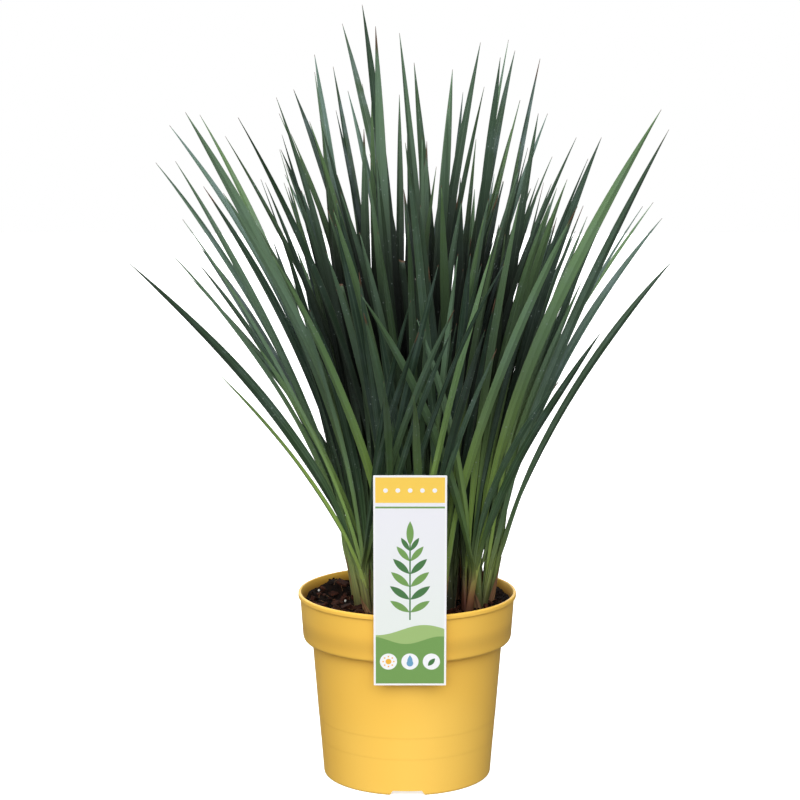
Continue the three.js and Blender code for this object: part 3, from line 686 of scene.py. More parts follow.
def rank_leaves(shoot, draw):
    """Which row of the fan each leaf is in, and how many lie outside it there"""
    for leaf in shoot["leaves"]:
        offset = leaf["root"] - shoot["foot"]
        leaf["offset"] = offset.dot(shoot["along"])
        leaf["row"] = 1 if leaf["offset"] >= 0 else -1
        leaf["hand"] = 1 if axes_at(leaf, 0)[1].dot(shoot["across"]) > 0 else -1
        leaf["tint"] = draw.random()
        leaf["wither"] = draw.random()
        leaf["length"] = (leaf["end"] - leaf["root"]).length
        leaf["drift"] = between(draw, DRIFTS) * MM
        leaf["sag"] = between(draw, SAGS) * MM
        leaf["roll"] = between(draw, ROLLS) + turn_to_front(leaf, between(draw, FACINGS))
        leaf["fold"] = between(draw, FOLDS)
        leaf["shoot_tint"] = shoot["tint"]
        inner = leaf["end"].xy.length < CUT_REACH * MM and leaf["end"].z < HIGHEST_CUT * MM
        leaf["cut"] = between(draw, CUTS) if inner and leaf["wither"] > CUT_WITHER else 1
    for row in ROWS:
        members = [leaf for leaf in shoot["leaves"] if leaf["row"] == row]
        members.sort(key=lambda leaf: -abs(leaf["offset"]))
        for rank, leaf in enumerate(members):
            leaf["rank"] = rank


def add_scales(made, shoot, clump, draw):
    """The short dry sheaths round the foot of a shoot"""
    for row in ROWS:
        if draw.random() > SCALE_CHANCE:
            continue
        leaf = {"row": row, "hand": 1, "rank": 0, "tint": draw.random(),
                "wither": SCALE_WITHER + draw.random(), "shoot_tint": shoot["tint"], "cut": 1}
        height = between(draw, SCALE_HEIGHTS)
        rows = []
        for step in range(SCALE_ROWS + 1):
            share = step / SCALE_ROWS
            wrap = max(SCALE_POINT, 1 - share ** SCALE_TAPER)
            proud = SCALE_PROUD + SCALE_FLARE * share ** 3
            level = lerp(SHEATH_BOTTOM, height, share)
            rows.append((0, sheath_row(shoot, leaf, level, wrap, proud)))
        add_strap(made, rows, leaf, clump, SCALE_THICKNESS)


def make_shoot(shoot, clump, index):
    draw = random.Random(LEAF_LOOK_SEED + index)
    shoot["tint"] = draw.random()
    rank_leaves(shoot, draw)
    made = bmesh.new()
    for name in ("strap", "traits", "stand"):
        made.verts.layers.float_vector.new(name)
    for leaf in shoot["leaves"]:
        add_strap(made, leaf_rows(shoot, leaf), leaf, clump, BLADE_THICKNESS)
    add_scales(made, shoot, clump, draw)
    return made


def leaf_material():
    """Waxy strap leaves: blue green above, fresh green low down, red and brown at the foot, and
    painted shade in the middle of the clump
    """
    shade = Shade("strap_leaf")
    place = shade.place()
    x = shade.parts(place)[0]
    u, along, under = shade.parts(shade.attribute("strap"))
    tint, share, wither = shade.parts(shade.attribute("traits"))
    # depth is painted shade, darkest in the middle of the clump and fading near its top
    depth, shoot_tint, height = shade.parts(shade.attribute("stand"))
    scale = wither.above(SCALE_WITHER - 0.5)
    streak = shade.grain(shade.vector(u * 5 + tint * 90, along * 0.006, tint * 50), 1, 3, 0.6)
    fine = shade.grain(shade.vector(u * 26 + tint * 70, along * 0.012, tint * 20), 1, 2, 0.6)
    patch = shade.grain(place, 38, 3, 0.55)
    cool = shade.mix(tint.rise(0.05, 0.95), colour(26, 48, 40), colour(106, 132, 118))
    warm = shade.mix(tint.rise(0.1, 0.9), colour(34, 60, 32), colour(98, 130, 80))
    cool = shade.mix((wither * 7).sine().rise(-0.2, 0.9), cool, warm)
    base = shade.mix(under * 0.5, cool, warm)
    low = 1 - (height - tint * 60).rise(30, 170)
    fresh = low * (0.3 + 0.7 * tint.rise(0.3, 0.9)) * (0.4 + 0.6 * streak.rise(0.35, 0.65))
    rib = (1 - u.size().rise(0.02, 0.14)) * (0.55 - 0.35 * under)
    margin = u.size().rise(0.88, 1.0)
    bloom = patch.rise(0.4, 0.7) * (1 - fresh) * (1 - under * 0.7)
    pale = (1 - height.rise(20, 75)) * (0.3 + 0.7 * streak.rise(0.3, 0.7))
    flush = (1 - height.rise(6, 42)) * (shoot_tint * 1.5 + streak * 0.7 - 0.75).rise(0.1, 0.7)
    flush = flush * (0.25 + 0.75 * x.rise(0, 0.03))
    foot = 1 - (height + shoot_tint * 18).rise(6, 40)
    withered = wither.rise(*BROWN_WITHERS) * wither.below(CUT_WITHER)
    brown_end = share.rise(0.992, 0.998) + share.rise(0.95, 0.975) * withered
    red_end = share.rise(0.88, 0.95) * wither.below(RED_WITHER)
    spots = (1 - shade.cells(place, 260).rise(0.12, 0.2)) * patch.rise(0.5, 0.62)
    husk = shade.mix(streak.rise(0.3, 0.7), colour(84, 50, 32), colour(150, 116, 78))
    base = shade.layered(base, (
        (fresh, shade.mix(tint, colour(78, 118, 38), colour(150, 182, 68))),
        (streak.rise(0.42, 0.75) * 0.35, colour(100, 128, 104)),
        ((0.5 - fine).rise(0.02, 0.3) * 0.5, colour(22, 42, 30)),
        (rib * 0.5, colour(116, 142, 108)),
        (margin * 0.3, colour(124, 138, 86)),
        (bloom * 0.4, colour(120, 138, 142)),
        (pale * 0.7, colour(150, 162, 84)),
        (flush * 0.8, colour(150, 62, 58)),
        (foot * 0.8, colour(44, 26, 17)),
        # Painted shade: near black deep in the middle of the clump
        (depth * 0.97, colour(3, 7, 5)),
        ((brown_end * (1 - scale)).least(1), colour(86, 62, 42)),
        (red_end, colour(108, 46, 42)),
        (spots * 0.3, colour(170, 184, 180)),
        # The dry husk gives way to the painted shade deep in the clump
        (scale * (1 - depth * 0.7), husk),
    ))
    veins = (u * 44).sine() * 0.5 + fine + streak * 0.6
    normal = shade.bump(veins, 0.00009, 0.5)
    roughness = 0.44 + fine * 0.16 + under * 0.06 + scale * 0.25
    return shade.finish({"Base Color": base, "Roughness": roughness, "Normal": normal,
                         "Specular IOR Level": 0.42})


# Pot


def arc(radius, z, size, start, end, steps):
    return [on_circle(radius, z, size, lerp(start, end, step / steps))
            for step in range(steps + 1)]


def spun(outline, sides):
    """A closed solid, from an outline in millimetres that starts and ends on the axis"""
    made = bmesh.new()
    verts = [made.verts.new((radius * MM, 0, z * MM)) for radius, z in outline]
    edges = [made.edges.new(pair) for pair in zip(verts, verts[1:])]
    bmesh.ops.spin(made, geom=verts + edges, axis=UP, angle=2 * math.pi, steps=sides,
                   use_merge=True)
    bmesh.ops.remove_doubles(made, verts=made.verts, dist=MERGE_REACH)
    bmesh.ops.recalc_face_normals(made, faces=made.faces)
    return made


def wall_radius(z):
    """The pot's outer wall between its base and its collar, with the two faint ledges"""
    hidden = sum(step for level, step in LEDGES if z < level)
    return lerp(BASE_RADIUS, WAIST_RADIUS, z / COLLAR_FOOT_Z) - hidden


def collar_radius(z):
    share = (z - COLLAR_FOOT_Z) / (POT_HEIGHT - LIP_DROP - COLLAR_FOOT_Z)
    return lerp(COLLAR_FOOT_RADIUS, COLLAR_TOP_RADIUS, share)


def wall_outline():
    levels = [FOOT_ROUND + row for row in ROWS_ABOVE_FOOT]
    for level, _ in LEDGES:
        levels += [level + LEDGE_SLOPE * row for row in (-3, -1, 1, 3)]
    levels += [COLLAR_FOOT_Z - row for row in ROWS_BELOW_COLLAR]
    return [(wall_radius(z), z) for z in levels]


def collar_outline():
    levels = [COLLAR_FOOT_Z + COLLAR_FOOT_ROUND + ROW_ABOVE_COLLAR_FOOT]
    levels += [POT_HEIGHT - LIP_DROP - row for row in ROWS_BELOW_LIP]
    return [(collar_radius(z), z) for z in levels]


def pot_outline():
    """From the middle of the floor's underside, up the outside and down the inside"""
    foot_inner = BASE_RADIUS - FOOT_RING_WIDTH
    foot = wall_radius(0)
    lip_z = POT_HEIGHT - LIP_DROP
    top = POT_HEIGHT - LIP_ROUND
    collar_inner = COLLAR_FOOT_RADIUS - WALL
    return [
        (0, FLOOR_UNDERSIDE_Z),
        *arc(foot_inner - FLOOR_ROUND, FLOOR_UNDERSIDE_Z - FLOOR_ROUND, FLOOR_ROUND, 90, 0, 3),
        *arc(foot_inner + FOOT_RING_ROUND, FOOT_RING_ROUND, FOOT_RING_ROUND, 180, 270, 3),
        *arc(foot - FOOT_ROUND, FOOT_ROUND, FOOT_ROUND, -90, 0, 5),
        *wall_outline(),
        *arc(WAIST_RADIUS + WAIST_ROUND, COLLAR_FOOT_Z - WAIST_ROUND, WAIST_ROUND, 180, 90, 3),
        *arc(COLLAR_FOOT_RADIUS - COLLAR_FOOT_ROUND, COLLAR_FOOT_Z + COLLAR_FOOT_ROUND,
             COLLAR_FOOT_ROUND, -90, -4, 9),
        *collar_outline(),
        *arc(COLLAR_TOP_RADIUS + BEAD_ROUND, lip_z - BEAD_DROP, BEAD_ROUND, 180, 90, 3),
        *arc(RIM_RADIUS - BEAD_EDGE_ROUND, lip_z - BEAD_EDGE_DROP, BEAD_EDGE_ROUND, -60, 0, 3),
        *arc(RIM_RADIUS - LIP_ROUND, top, LIP_ROUND, 0, 90, 6),
        *arc(LIP_INNER_RADIUS + LIP_INNER_ROUND, POT_HEIGHT - LIP_INNER_ROUND, LIP_INNER_ROUND,
             100, 180, 4),
        (COLLAR_TOP_RADIUS - WALL, lip_z),
        (collar_inner + STEP_DRAFT, COLLAR_FOOT_Z + WALL + STEP_BEVEL),
        (collar_inner - STEP_BEVEL, COLLAR_FOOT_Z + WALL),
        (WAIST_RADIUS - WALL, COLLAR_FOOT_Z + WALL - STEP_BEVEL),
        (BASE_RADIUS - WALL, FLOOR_UNDERSIDE_Z + WALL),
        (0, FLOOR_UNDERSIDE_Z + WALL),
    ]


def notch_cutter(degrees):
    """A wedge for a drain notch, narrower at its top than at the ground"""
    made = bmesh.new()
    bmesh.ops.create_cube(made, size=1)
    for vertex in made.verts:
        width = NOTCH_WIDTHS[0] if vertex.co.z > 0 else 2 * NOTCH_WIDTHS[1] - NOTCH_WIDTHS[0]
        vertex.co = Vector((BASE_RADIUS + vertex.co.x * FOOT_RING_WIDTH * 4,
                            vertex.co.y * width, vertex.co.z * NOTCH_HEIGHT * 2)) * MM
    bmesh.ops.rotate(made, verts=made.verts, matrix=Matrix.Rotation(math.radians(degrees), 3, "Z"))
    return made


def drain_cutter(degrees):
    made = bmesh.new()
    bmesh.ops.create_cone(made, cap_ends=True, segments=40, radius1=DRAIN_RADIUS * MM,
                          radius2=DRAIN_RADIUS * MM, depth=FLOOR_UNDERSIDE_Z * 4 * MM)
    turn = math.radians(degrees)
    centre = Vector((math.cos(turn), math.sin(turn), 0)) * DRAIN_CIRCLE_RADIUS * MM
    bmesh.ops.translate(made, verts=made.verts, vec=centre)
    return made


def cut(made, cutters):
    """A solid with the cutters' solids taken out of it"""
    body = as_object("uncut", as_mesh("uncut", made))
    holders = [as_object("cutter", as_mesh("cutter", cutter)) for cutter in cutters]
    for holder in holders:
        modifier = body.modifiers.new("cut", "BOOLEAN")
        modifier.operation = "DIFFERENCE"
        modifier.solver = "EXACT"
        modifier.object = holder
    depsgraph = bpy.context.evaluated_depsgraph_get()
    result = bmesh.new()
    result.from_object(body, depsgraph)
    for holder in (body, *holders):
        bpy.data.objects.remove(holder)
    return result


def make_pot():
    cutters = [notch_cutter(degrees) for degrees in NOTCH_ANGLES]
    cutters += [drain_cutter(degrees) for degrees in DRAIN_ANGLES]
    return cut(spun(pot_outline(), POT_SIDES), cutters)


def pot_material():
    shade = Shade("amber_plastic")
    place = shade.place()
    x, y, z = shade.parts(place)
    radius = (x * x + y * y).root()
    broad = shade.grain(place, 9, 2, 0.5)
    grit = shade.grain(place, 900, 2, 0.6)
    base = shade.mix(broad.rise(0.3, 0.7), colour(251, 199, 84), colour(255, 206, 94))
    # Painted shade: the inner wall above the mix is painted a deeper amber
    inside = (INSIDE_RADIUS * MM - radius).rise(-0.0004, 0.0014)
    inside = inside * z.rise(*(level * MM for level in INSIDE_Z))
    base = shade.mix(inside * 0.85, base, colour(176, 108, 34))
    specks = 1 - shade.cells(place, 420).rise(0.1, 0.24)
    specks = specks * shade.grain(place, 70, 2).rise(0.52, 0.6)
    # On the inner wall: darker brown towards the mix, and dirt specks
    specks_and_dark_band = inside * ((DARK_BAND_Z * MM - z).rise(-0.002, 0.003) * 0.5 + specks * 0.6)
    base = shade.mix(specks_and_dark_band.least(0.8), base, colour(84, 54, 34))
    scuffs = shade.grain(shade.vector(x * 260, y * 260, z * 34), 1, 3, 0.6).rise(0.6, 0.78)
    roughness = 0.4 + scuffs * 0.12 + broad * 0.06
    normal = shade.bump(grit, 0.00004, 0.5)
    return shade.finish({"Base Color": base, "Roughness": roughness, "Normal": normal,
                         "Specular IOR Level": 0.3})


# Potting mix


def make_plug():
    """The filling, level with the solid's top and waved there"""
    foot_z = FLOOR_UNDERSIDE_Z + WALL + PLUG_FOOT_GAP
    ledge_z = COLLAR_FOOT_Z + WALL
    waist = WAIST_RADIUS - WALL - PLUG_GAP
    top = [(SOIL_RADIUS * (step / SOIL_RINGS), SOIL_Z) for step in range(SOIL_RINGS + 1)]
    made = spun([
        (0, foot_z), (BASE_RADIUS - WALL - PLUG_GAP, foot_z),
        (waist, ledge_z - STEP_BEVEL), (waist, ledge_z + PLUG_STEP_GAP),
        (COLLAR_FOOT_RADIUS - WALL - PLUG_GAP, ledge_z + PLUG_STEP_GAP), *reversed(top),
    ], POT_SIDES)
    for vertex in made.verts:
        if vertex.co.z > (SOIL_Z - TOP_REACH) * MM:
            vertex.co.z += ground_height(vertex.co.x / MM, vertex.co.y / MM) * MM
    return made


def ripple(x, y, length, layer):
    return noise.noise(Vector((x / length, y / length, layer)))


def ground_height(x, y):
    """How far the mix's surface lies above its level, in millimetres"""
    waves = ripple(x, y, WAVE_LENGTH, 0)
    lumps = ripple(x, y, LUMP_LENGTH, 7)
    crumbs = ripple(x, y, CRUMBLE_LENGTH, 3)
    bank = BANK_HEIGHT * smooth_step(*BANK_RADII, math.hypot(x, y)) * (1 + BANK_UNEVENNESS * waves)
    mound = MOUND_HEIGHT * (1 - smooth_step(0, MOUND_RADIUS, math.dist((x, y), MOUND_PLACE)))
    return WAVE_HEIGHT * waves + LUMP_HEIGHT * lumps + CRUMBLE_HEIGHT * crumbs + bank + mound


def crumb_shape(seed):
    """A rough little body about one unit across"""
    draw = random.Random(seed)
    made = bmesh.new()
    bmesh.ops.create_icosphere(made, subdivisions=1, radius=0.5)
    for vertex in made.verts:
        vertex.co *= 1 + draw.uniform(-CRUMB_ROUGHNESS, CRUMB_ROUGHNESS)
    return as_mesh("crumb", made)


def chip_shape(seed):
    """A bark chip of one unit a side, with worn corners"""
    draw = random.Random(seed)
    made = bmesh.new()
    bmesh.ops.create_cube(made, size=1)
    bmesh.ops.subdivide_edges(made, edges=made.edges, cuts=1, use_grid_fill=True)
    for vertex in made.verts:
        vertex.co = Vector([value * between(draw, CHIP_WEAR) for value in vertex.co])
    bmesh.ops.bevel(made, geom=made.edges, offset=CHIP_BEVEL, segments=1, profile=0.5,
                    affect="EDGES", material=-1)
    return as_mesh("chip", made)


def scattered(shapes, places):
    """One bmesh with a copy of a shape at each place"""
    made = bmesh.new()
    for number, place in enumerate(places):
        shape = shapes[number % len(shapes)]
        shape.transform(place)
        made.from_mesh(shape)
        shape.transform(place.inverted())
    return made


def turned_place(draw, x, y, z, sizes, tilt):
    """A place for a shape: turned at random, tilted a little, and scaled, in millimetres"""
    turn = Matrix.Rotation(draw.uniform(0, 2 * math.pi), 4, "Z")
    lean = Matrix.Rotation(draw.uniform(-tilt, tilt), 4, "X")
    nod = Matrix.Rotation(draw.uniform(-tilt, tilt), 4, "Y")
    return (Matrix.Translation(Vector((x, y, z)) * MM) @ turn @ lean @ nod
            @ Matrix.Diagonal((*(size * MM for size in sizes), 1)))


def soil_spot(draw, reach):
    radius = reach * math.sqrt(draw.random())
    turn = draw.uniform(0, 2 * math.pi)
    return radius * math.cos(turn), radius * math.sin(turn)


def strewn(pick, seed, count, margin, tilt):
    """Places all over the mix, where the pick draws a thing's sizes and how far it is lifted"""
    draw = random.Random(seed)
    places = []
    for _ in range(count):
        x, y = soil_spot(draw, SOIL_RADIUS - margin)
        sizes, lift = pick(draw)
        places.append(turned_place(draw, x, y, SOIL_Z + ground_height(x, y) + lift, sizes, tilt))
    return places


def pick_crumb(draw):
    size = lerp(*CRUMB_SIZES, draw.random() ** 2)
    sizes = (size * between(draw, CRUMB_LENGTHS), size, size * between(draw, CRUMB_HEIGHTS))
    return sizes, size * between(draw, CRUMB_LIFTS)


def pick_small_chip(draw):
    length = between(draw, CHIP_LENGTHS)
    width = length * between(draw, CHIP_WIDTHS)
    height = length * between(draw, CHIP_HEIGHTS)
    return (length, width, height), height * between(draw, CHIP_LIFTS)


def pick_grit(draw):
    size = between(draw, GRIT_SIZES)
    return [size] * 3, size * GRIT_LIFT


def bank_level(place):
    """The height of the solid's surface at a place, without its chips, in millimetres"""
    return SOIL_Z + BANK_HEIGHT * np.interp(place.xy.length / MM, BANK_RADII, (0, 1))


def raised_groups():
    """The corners of each body that stands out of the solid's surface, in millimetres

    They are sorted, so that each run puts the same chip in the same place.
    """
    made = merged("soil")
    raised = {vertex for vertex in made.verts
              if vertex.co.z / MM > bank_level(vertex.co) + CHIP_PROUD}
    groups = []
    while raised:
        reached = [raised.pop()]
        for vertex in reached:
            for edge in vertex.link_edges:
                other = edge.other_vert(vertex)
                if other in raised:
                    raised.remove(other)
                    reached.append(other)
        groups.append(sorted(tuple(vertex.co / MM) for vertex in reached))
    made.free()
    return sorted(groups)


def large_chip_places():
    """Where the solid's large chips stand out of the mix, with their lengths and turns"""
    places = []
    for group in raised_groups():
        if len(group) < LEAST_CHIP_CORNERS:
            continue
        points = np.array(group)
        centre = points.mean(axis=0)
        spread = points - centre
        _, axes = np.linalg.eigh(spread.T @ spread)
        if np.linalg.det(axes) < 0:
            axes[:, 0] *= -1
        sizes = np.ptp(spread @ axes, axis=0) * CHIP_FIT
        turn = Matrix([[*row, 0] for row in axes.tolist()] + [[0, 0, 0, 1]])
        places.append(Matrix.Translation(Vector(centre) * MM) @ turn
                      @ Matrix.Diagonal((*(sizes * MM).tolist(), 1)))
    return places


def make_fibres():
    """Fine roots and coir threads on the mix"""
    draw = random.Random(FIBRE_SEED)
    data = bpy.data.curves.new("fibres", "CURVE")
    data.dimensions = "3D"
    data.bevel_depth = FIBRE_RADIUS * MM
    data.bevel_resolution = 0
    for _ in range(FIBRE_COUNT):
        x, y = soil_spot(draw, SOIL_RADIUS - FIBRE_MARGIN)
        turn = draw.uniform(0, 2 * math.pi)
        points = []
        for step in range(FIBRE_POINTS):
            inner = 0 < step < FIBRE_POINTS - 1
            lift = FIBRE_LIFT + between(draw, FIBRE_WAVES) if inner else FIBRE_END_LIFT
            points.append((x * MM, y * MM, (SOIL_Z + ground_height(x, y) + lift) * MM, 1))
            turn += between(draw, FIBRE_TURNS)
            x += math.cos(turn) * FIBRE_STEP
            y += math.sin(turn) * FIBRE_STEP
        spline = data.splines.new("POLY")
        spline.points.add(len(points) - 1)
        for point, place in zip(spline.points, points):
            point.co = place
    holder = as_object("fibres", data)
    depsgraph = bpy.context.evaluated_depsgraph_get()
    made = bmesh.new()
    made.from_mesh(bpy.data.meshes.new_from_object(holder.evaluated_get(depsgraph)))
    bpy.data.objects.remove(holder)
    return made


def mix_material(name, roughness=MIX_ROUGHNESS):
    shade = Shade(name)
    place = shade.place()
    lumps = shade.grain(place, 320, 4, 0.65)
    fine = shade.grain(place, 1500, 3, 0.6)
    dip_colour, lump_colour, grain_colour = (colour(*values) for values in MIX_COLOURS[name])
    base = shade.mix(lumps.rise(0.38, 0.66), dip_colour, lump_colour)
    base = shade.mix(fine.rise(0.55, 0.75) * 0.7, base, grain_colour)
    normal = shade.bump(lumps + fine * 0.5, 0.0006, 0.8)
    return shade.finish({"Base Color": base, "Roughness": roughness, "Normal": normal,
                         "Specular IOR Level": 0.12})


# Label

LABEL_TILT = math.atan2(RIM_RADIUS - COLLAR_FOOT_RADIUS,
                        POT_HEIGHT - LIP_DROP - COLLAR_FOOT_Z)
LABEL_TOP_Z = LABEL_FOOT_Z + LABEL_LENGTH * math.cos(LABEL_TILT)


def card_back(z):
    """Where the back of the card is, in y, at a height"""
    return -(RIM_RADIUS + LABEL_GAP) - (z - (POT_HEIGHT - LIP_DROP)) * math.tan(LABEL_TILT)


def plate(width, length):
    """A flat plate that stands on the ground plane's X axis, with rounded corners and rows"""
    made = bmesh.new()
    bmesh.ops.create_grid(made, x_segments=1, y_segments=1, size=0.5)
    for vertex in made.verts:
        vertex.co = Vector((vertex.co.x * width, 0, (vertex.co.y + 0.5) * length)) * MM
    bmesh.ops.bevel(made, geom=made.verts, offset=LABEL_CORNER * MM, segments=5, profile=0.5,
                    affect="VERTICES", material=-1)
    for row in range(1, LABEL_ROWS):
        height = length * row / LABEL_ROWS * MM
        bmesh.ops.bisect_plane(made, geom=made.verts[:] + made.edges[:] + made.faces[:],
                               plane_co=(0, 0, height), plane_no=(0, 0, 1))
    for face in made.faces:
        face.normal_update()
    bmesh.ops.solidify(made, geom=made.faces, thickness=LABEL_THICKNESS * MM)
    bmesh.ops.recalc_face_normals(made, faces=made.faces)
    return made


def make_label():
    """The card in front of the rim, and the tail that runs from its top down into the mix"""
    card = plate(LABEL_WIDTH, LABEL_LENGTH)
    low = min(vertex.co.y for vertex in card.verts)
    for vertex in card.verts:
        z = LABEL_FOOT_Z * MM + vertex.co.z * math.cos(LABEL_TILT)
        vertex.co = Vector((vertex.co.x + LABEL_CENTRE_X * MM,
                            card_back(z / MM) * MM + vertex.co.y - low - LABEL_THICKNESS * MM, z))
    tail_z = SOIL_Z - TAIL_DEPTH
    top_y = card_back(LABEL_TOP_Z)
    slope = (-TAIL_SOIL_RADIUS - top_y) / (LABEL_TOP_Z - tail_z)
    tail = plate(TAIL_WIDTH, LABEL_TOP_Z - tail_z)
    for vertex in tail.verts:
        z = LABEL_TOP_Z * MM - vertex.co.z
        bend = smooth_step(0, LABEL_FOLD, vertex.co.z / MM)
        back = (top_y + (LABEL_TOP_Z - z / MM) * slope + LABEL_THICKNESS * bend) * MM
        vertex.co = Vector((vertex.co.x + LABEL_CENTRE_X * MM, back + vertex.co.y - low, z))
    bmesh.ops.recalc_face_normals(tail, faces=tail.faces)
    card.from_mesh(as_mesh("tail", tail))
    for face in card.faces:
        middle = face.calc_center_median()
        card_middle = (card_back(middle.z / MM) - LABEL_THICKNESS / 2) * MM
        printed = face.normal.y < FRONT_NORMAL and middle.y < card_middle
        face.material_index = 0 if printed else 1
    return card


def disc(x, h, centre_x, centre_h, radius):
    dx = x - centre_x
    dh = h - centre_h
    return 1 - (dx * dx + dh * dh).root().rise(radius - DISC_BLUR, radius + DISC_BLUR)


def blade_mark(x, h, foot_x, foot_h, degrees, length, width):
    """A pointed leaf drawn from its foot, at an angle from upright"""
    sine, cosine = math.sin(math.radians(degrees)), math.cos(math.radians(degrees))
    dx = x - foot_x
    dh = h - foot_h
    reach = dx * sine + dh * cosine - length / 2
    off = (dx * cosine - dh * sine).size()
    return (width / 2 * (1 - reach * reach * (4 / length ** 2)) - off).rise(-0.1, 0.15)


def hill(x, h, level, swell, shift, height):
    return (level + (x * swell + shift).sine() * height - h).rise(*SOFT_EDGE)


def print_material():
    """A plain printed card: header band, a leafy sprig, and hills with three care signs"""
    shade = Shade("printed_card")
    place = shade.place()
    x, _, z = shade.parts(place)
    x = x * (1 / MM) - LABEL_CENTRE_X
    h = (z * (1 / MM) - LABEL_FOOT_Z) / math.cos(LABEL_TILT)
    white = colour(247, 247, 250)
    green = colour(118, 160, 88)
    deep = colour(74, 122, 72)
    amber = colour(252, 210, 90)
    base = shade.mix(h.rise(40, 150), colour(234, 240, 236), colour(239, 239, 246))
    for pair, (foot, angle, length) in enumerate(SPRIG_LEAVES):
        mark = blade_mark(x.size(), h, SPRIG_LEAF_FOOT, foot, angle, length,
                          length * SPRIG_LEAF_WIDTH)
        base = shade.mix(mark, base, deep if pair % 2 else green)
    stalk = (STALK_HALF - x.size()).rise(*SOFT_EDGE)
    stalk = stalk * h.above(STALK_ENDS[0]) * h.below(STALK_ENDS[1])
    base = shade.mix(stalk, base, deep)
    base = shade.mix(blade_mark(x, h, *TOP_LEAF), base, green)
    base = shade.mix(hill(x, h, *FAR_HILL), base, colour(162, 192, 122))
    base = shade.mix(hill(x, h, *NEAR_HILL), base, green)
    for centre in SIGN_PLACES:
        base = shade.mix(disc(x, h, centre, SIGN_HEIGHT, SIGN_RADIUS), base, white)
    sun_x = SIGN_PLACES[0]
    sun = disc(x, h, sun_x, SIGN_HEIGHT, SUN_RADIUS)
    for degrees in range(0, 360, 45):
        ray = on_circle(sun_x, SIGN_HEIGHT, RAY_REACH, degrees)
        sun = sun.most(disc(x, h, *ray, RAY_RADIUS))
    base = shade.mix(sun, base, colour(244, 182, 62))
    drop = disc(x, h, 0, 17.6, 2.5).most(blade_mark(x, h, 0, 15, 0, 9, 3.9))
    base = shade.mix(drop, base, colour(112, 164, 200))
    base = shade.mix(blade_mark(x, h, 13.4, 15.6, 42, 8, 3.6), base, deep)
    base = shade.mix(h.above(HEADER_FOOT), base, amber)
    rule = (RULE_HALF - (h - RULE_HEIGHT).size()).rise(*SOFT_EDGE)
    base = shade.mix(rule, base, green)
    for centre in DOT_PLACES:
        base = shade.mix(disc(x, h, centre, DOT_HEIGHT, DOT_RADIUS), base, white)
    edge = LABEL_WIDTH / 2 - PRINT_MARGIN - x.size()
    edge = edge.least(h - PRINT_MARGIN).least(LABEL_LENGTH - PRINT_MARGIN - h)
    base = shade.mix(edge.rise(*SOFT_EDGE), white, base)
    fleck = shade.grain(place, 1200, 2, 0.6)
    roughness = 0.34 + fleck * 0.1
    return shade.finish({"Base Color": base, "Roughness": roughness,
                         "Normal": shade.bump(fleck, 0.00002, 0.3), "Coat Weight": 0.25,
                         "Coat Roughness": 0.2})


def card_material():
    shade = Shade("card_back")
    place = shade.place()
    fleck = shade.grain(place, 800, 2, 0.6)
    base = shade.mix(fleck, colour(240, 240, 242), colour(250, 250, 252))
    return shade.finish({"Base Color": base, "Roughness": 0.4 + fleck * 0.1,
                         "Normal": shade.bump(fleck, 0.00002, 0.3)})


# Stage


def place_camera():
    data = bpy.data.cameras.new("camera")
    data.sensor_width = SENSOR_WIDTH
    data.lens = LENS
    camera = as_object("camera", data)
    camera.location = EYE
    camera.rotation_euler = (math.pi / 2 - EYE_TILT, 0, 0)
    bpy.context.scene.camera = camera


def place_floor():
    made = bmesh.new()
    bmesh.ops.create_grid(made, x_segments=1, y_segments=1, size=FLOOR_SIZE / 2)
    floor = as_object("floor", as_mesh("floor", made))
    shade = Shade("pale_floor")
    white = colour(250, 250, 250)
    fleck = shade.grain(shade.place(), 30, 2)
    base = shade.mix(fleck, white, colour(248, 248, 248))
    floor.data.materials.append(shade.finish({
        "Base Color": base, "Roughness": 0.9, "Emission Color": white,
        "Emission Strength": FLOOR_GLOW}))
    floor.visible_diffuse = False
    floor.visible_glossy = False


def place_sun(name, strength, spread, turns):
    data = bpy.data.lights.new(name, "SUN")
    data.energy = strength
    data.angle = math.radians(spread)
    light = as_object(name, data)
    light.rotation_euler = [math.radians(turn) for turn in turns]


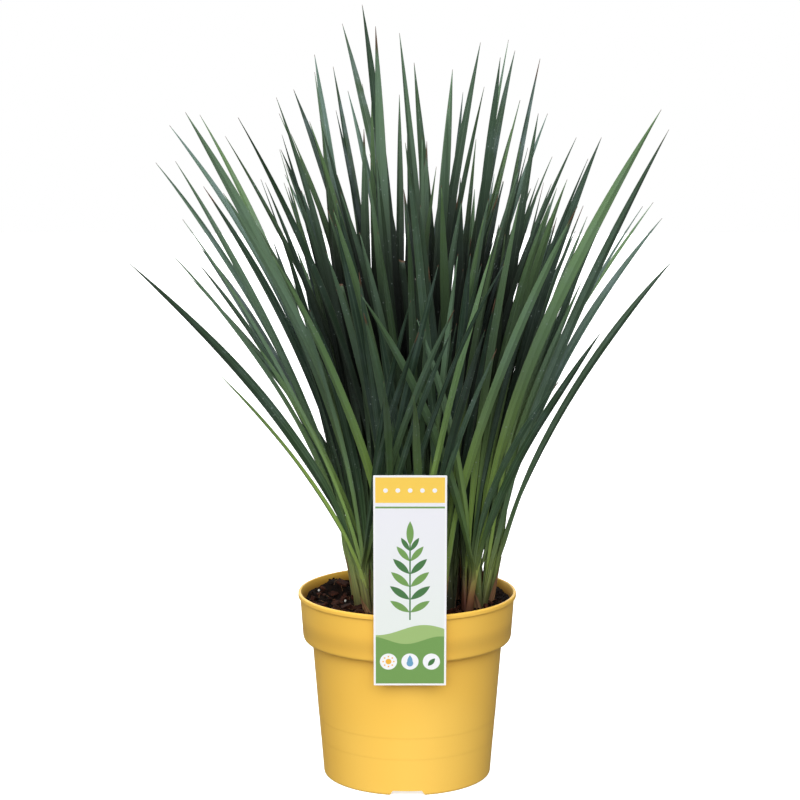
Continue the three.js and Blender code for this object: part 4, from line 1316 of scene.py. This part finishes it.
def light_the_scene():
    """Two suns, and a sky that is white to the camera and dimmer to all else"""
    scene = bpy.context.scene
    scene.view_settings.view_transform = "Standard"
    world = bpy.data.worlds.new("studio")
    world.use_nodes = True
    scene.world = world
    tree = world.node_tree
    sky = tree.nodes["Background"]
    sky.inputs["Color"].default_value = (1, 1, 1, 1)
    path = tree.nodes.new("ShaderNodeLightPath")
    spread = tree.nodes.new("ShaderNodeMapRange")
    spread.inputs["To Min"].default_value = SKY
    spread.inputs["To Max"].default_value = 1
    tree.links.new(path.outputs["Is Camera Ray"], spread.inputs["Value"])
    tree.links.new(spread.outputs["Result"], sky.inputs["Strength"])
    for name, sun in SUNS.items():
        place_sun(name, *sun)


# The whole plant

place_camera()
light_the_scene()
place_floor()

add_piece("nursery_pot", make_pot(), "pot", [pot_material()], POT_CREASE)

leaf_finish = leaf_material()
shoot_nodes = sorted(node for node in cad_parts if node.startswith("shoot_"))
shoots = [read_shoot(node) for node in shoot_nodes]
clump = clump_bands(shoots)
for number, (shoot_node, shoot) in enumerate(zip(shoot_nodes, shoots)):
    add_piece("leafy_" + shoot_node, make_shoot(shoot, clump, number), shoot_node,
              [leaf_finish])

plug_finish = mix_material("coir_mix")
bark_finish = mix_material("bark", BARK_ROUGHNESS)
crumb_shapes = [crumb_shape(seed) for seed in range(CRUMB_SHAPES)]
chip_shapes = [chip_shape(seed) for seed in range(CHIP_SHAPES)]
crumb_places = strewn(pick_crumb, *CRUMBS)
chip_places = large_chip_places() + strewn(pick_small_chip, *SMALL_CHIPS)
grit_places = strewn(pick_grit, *GRIT)
for name, made, finish, crease in (
    ("potting_mix", make_plug(), plug_finish, None),
    ("crumbs", scattered(crumb_shapes, crumb_places), plug_finish, None),
    ("bark_chips", scattered(chip_shapes, chip_places), bark_finish, CHIP_CREASE),
    ("perlite_grit", scattered(crumb_shapes, grit_places), mix_material("perlite"), None),
    ("coir_threads", make_fibres(), mix_material("threads"), None),
):
    add_piece(name, made, "soil", [finish], crease)

add_piece("plant_label", make_label(), "label", [print_material(), card_material()],
          LABEL_CREASE)

bpy.context.view_layer.update()
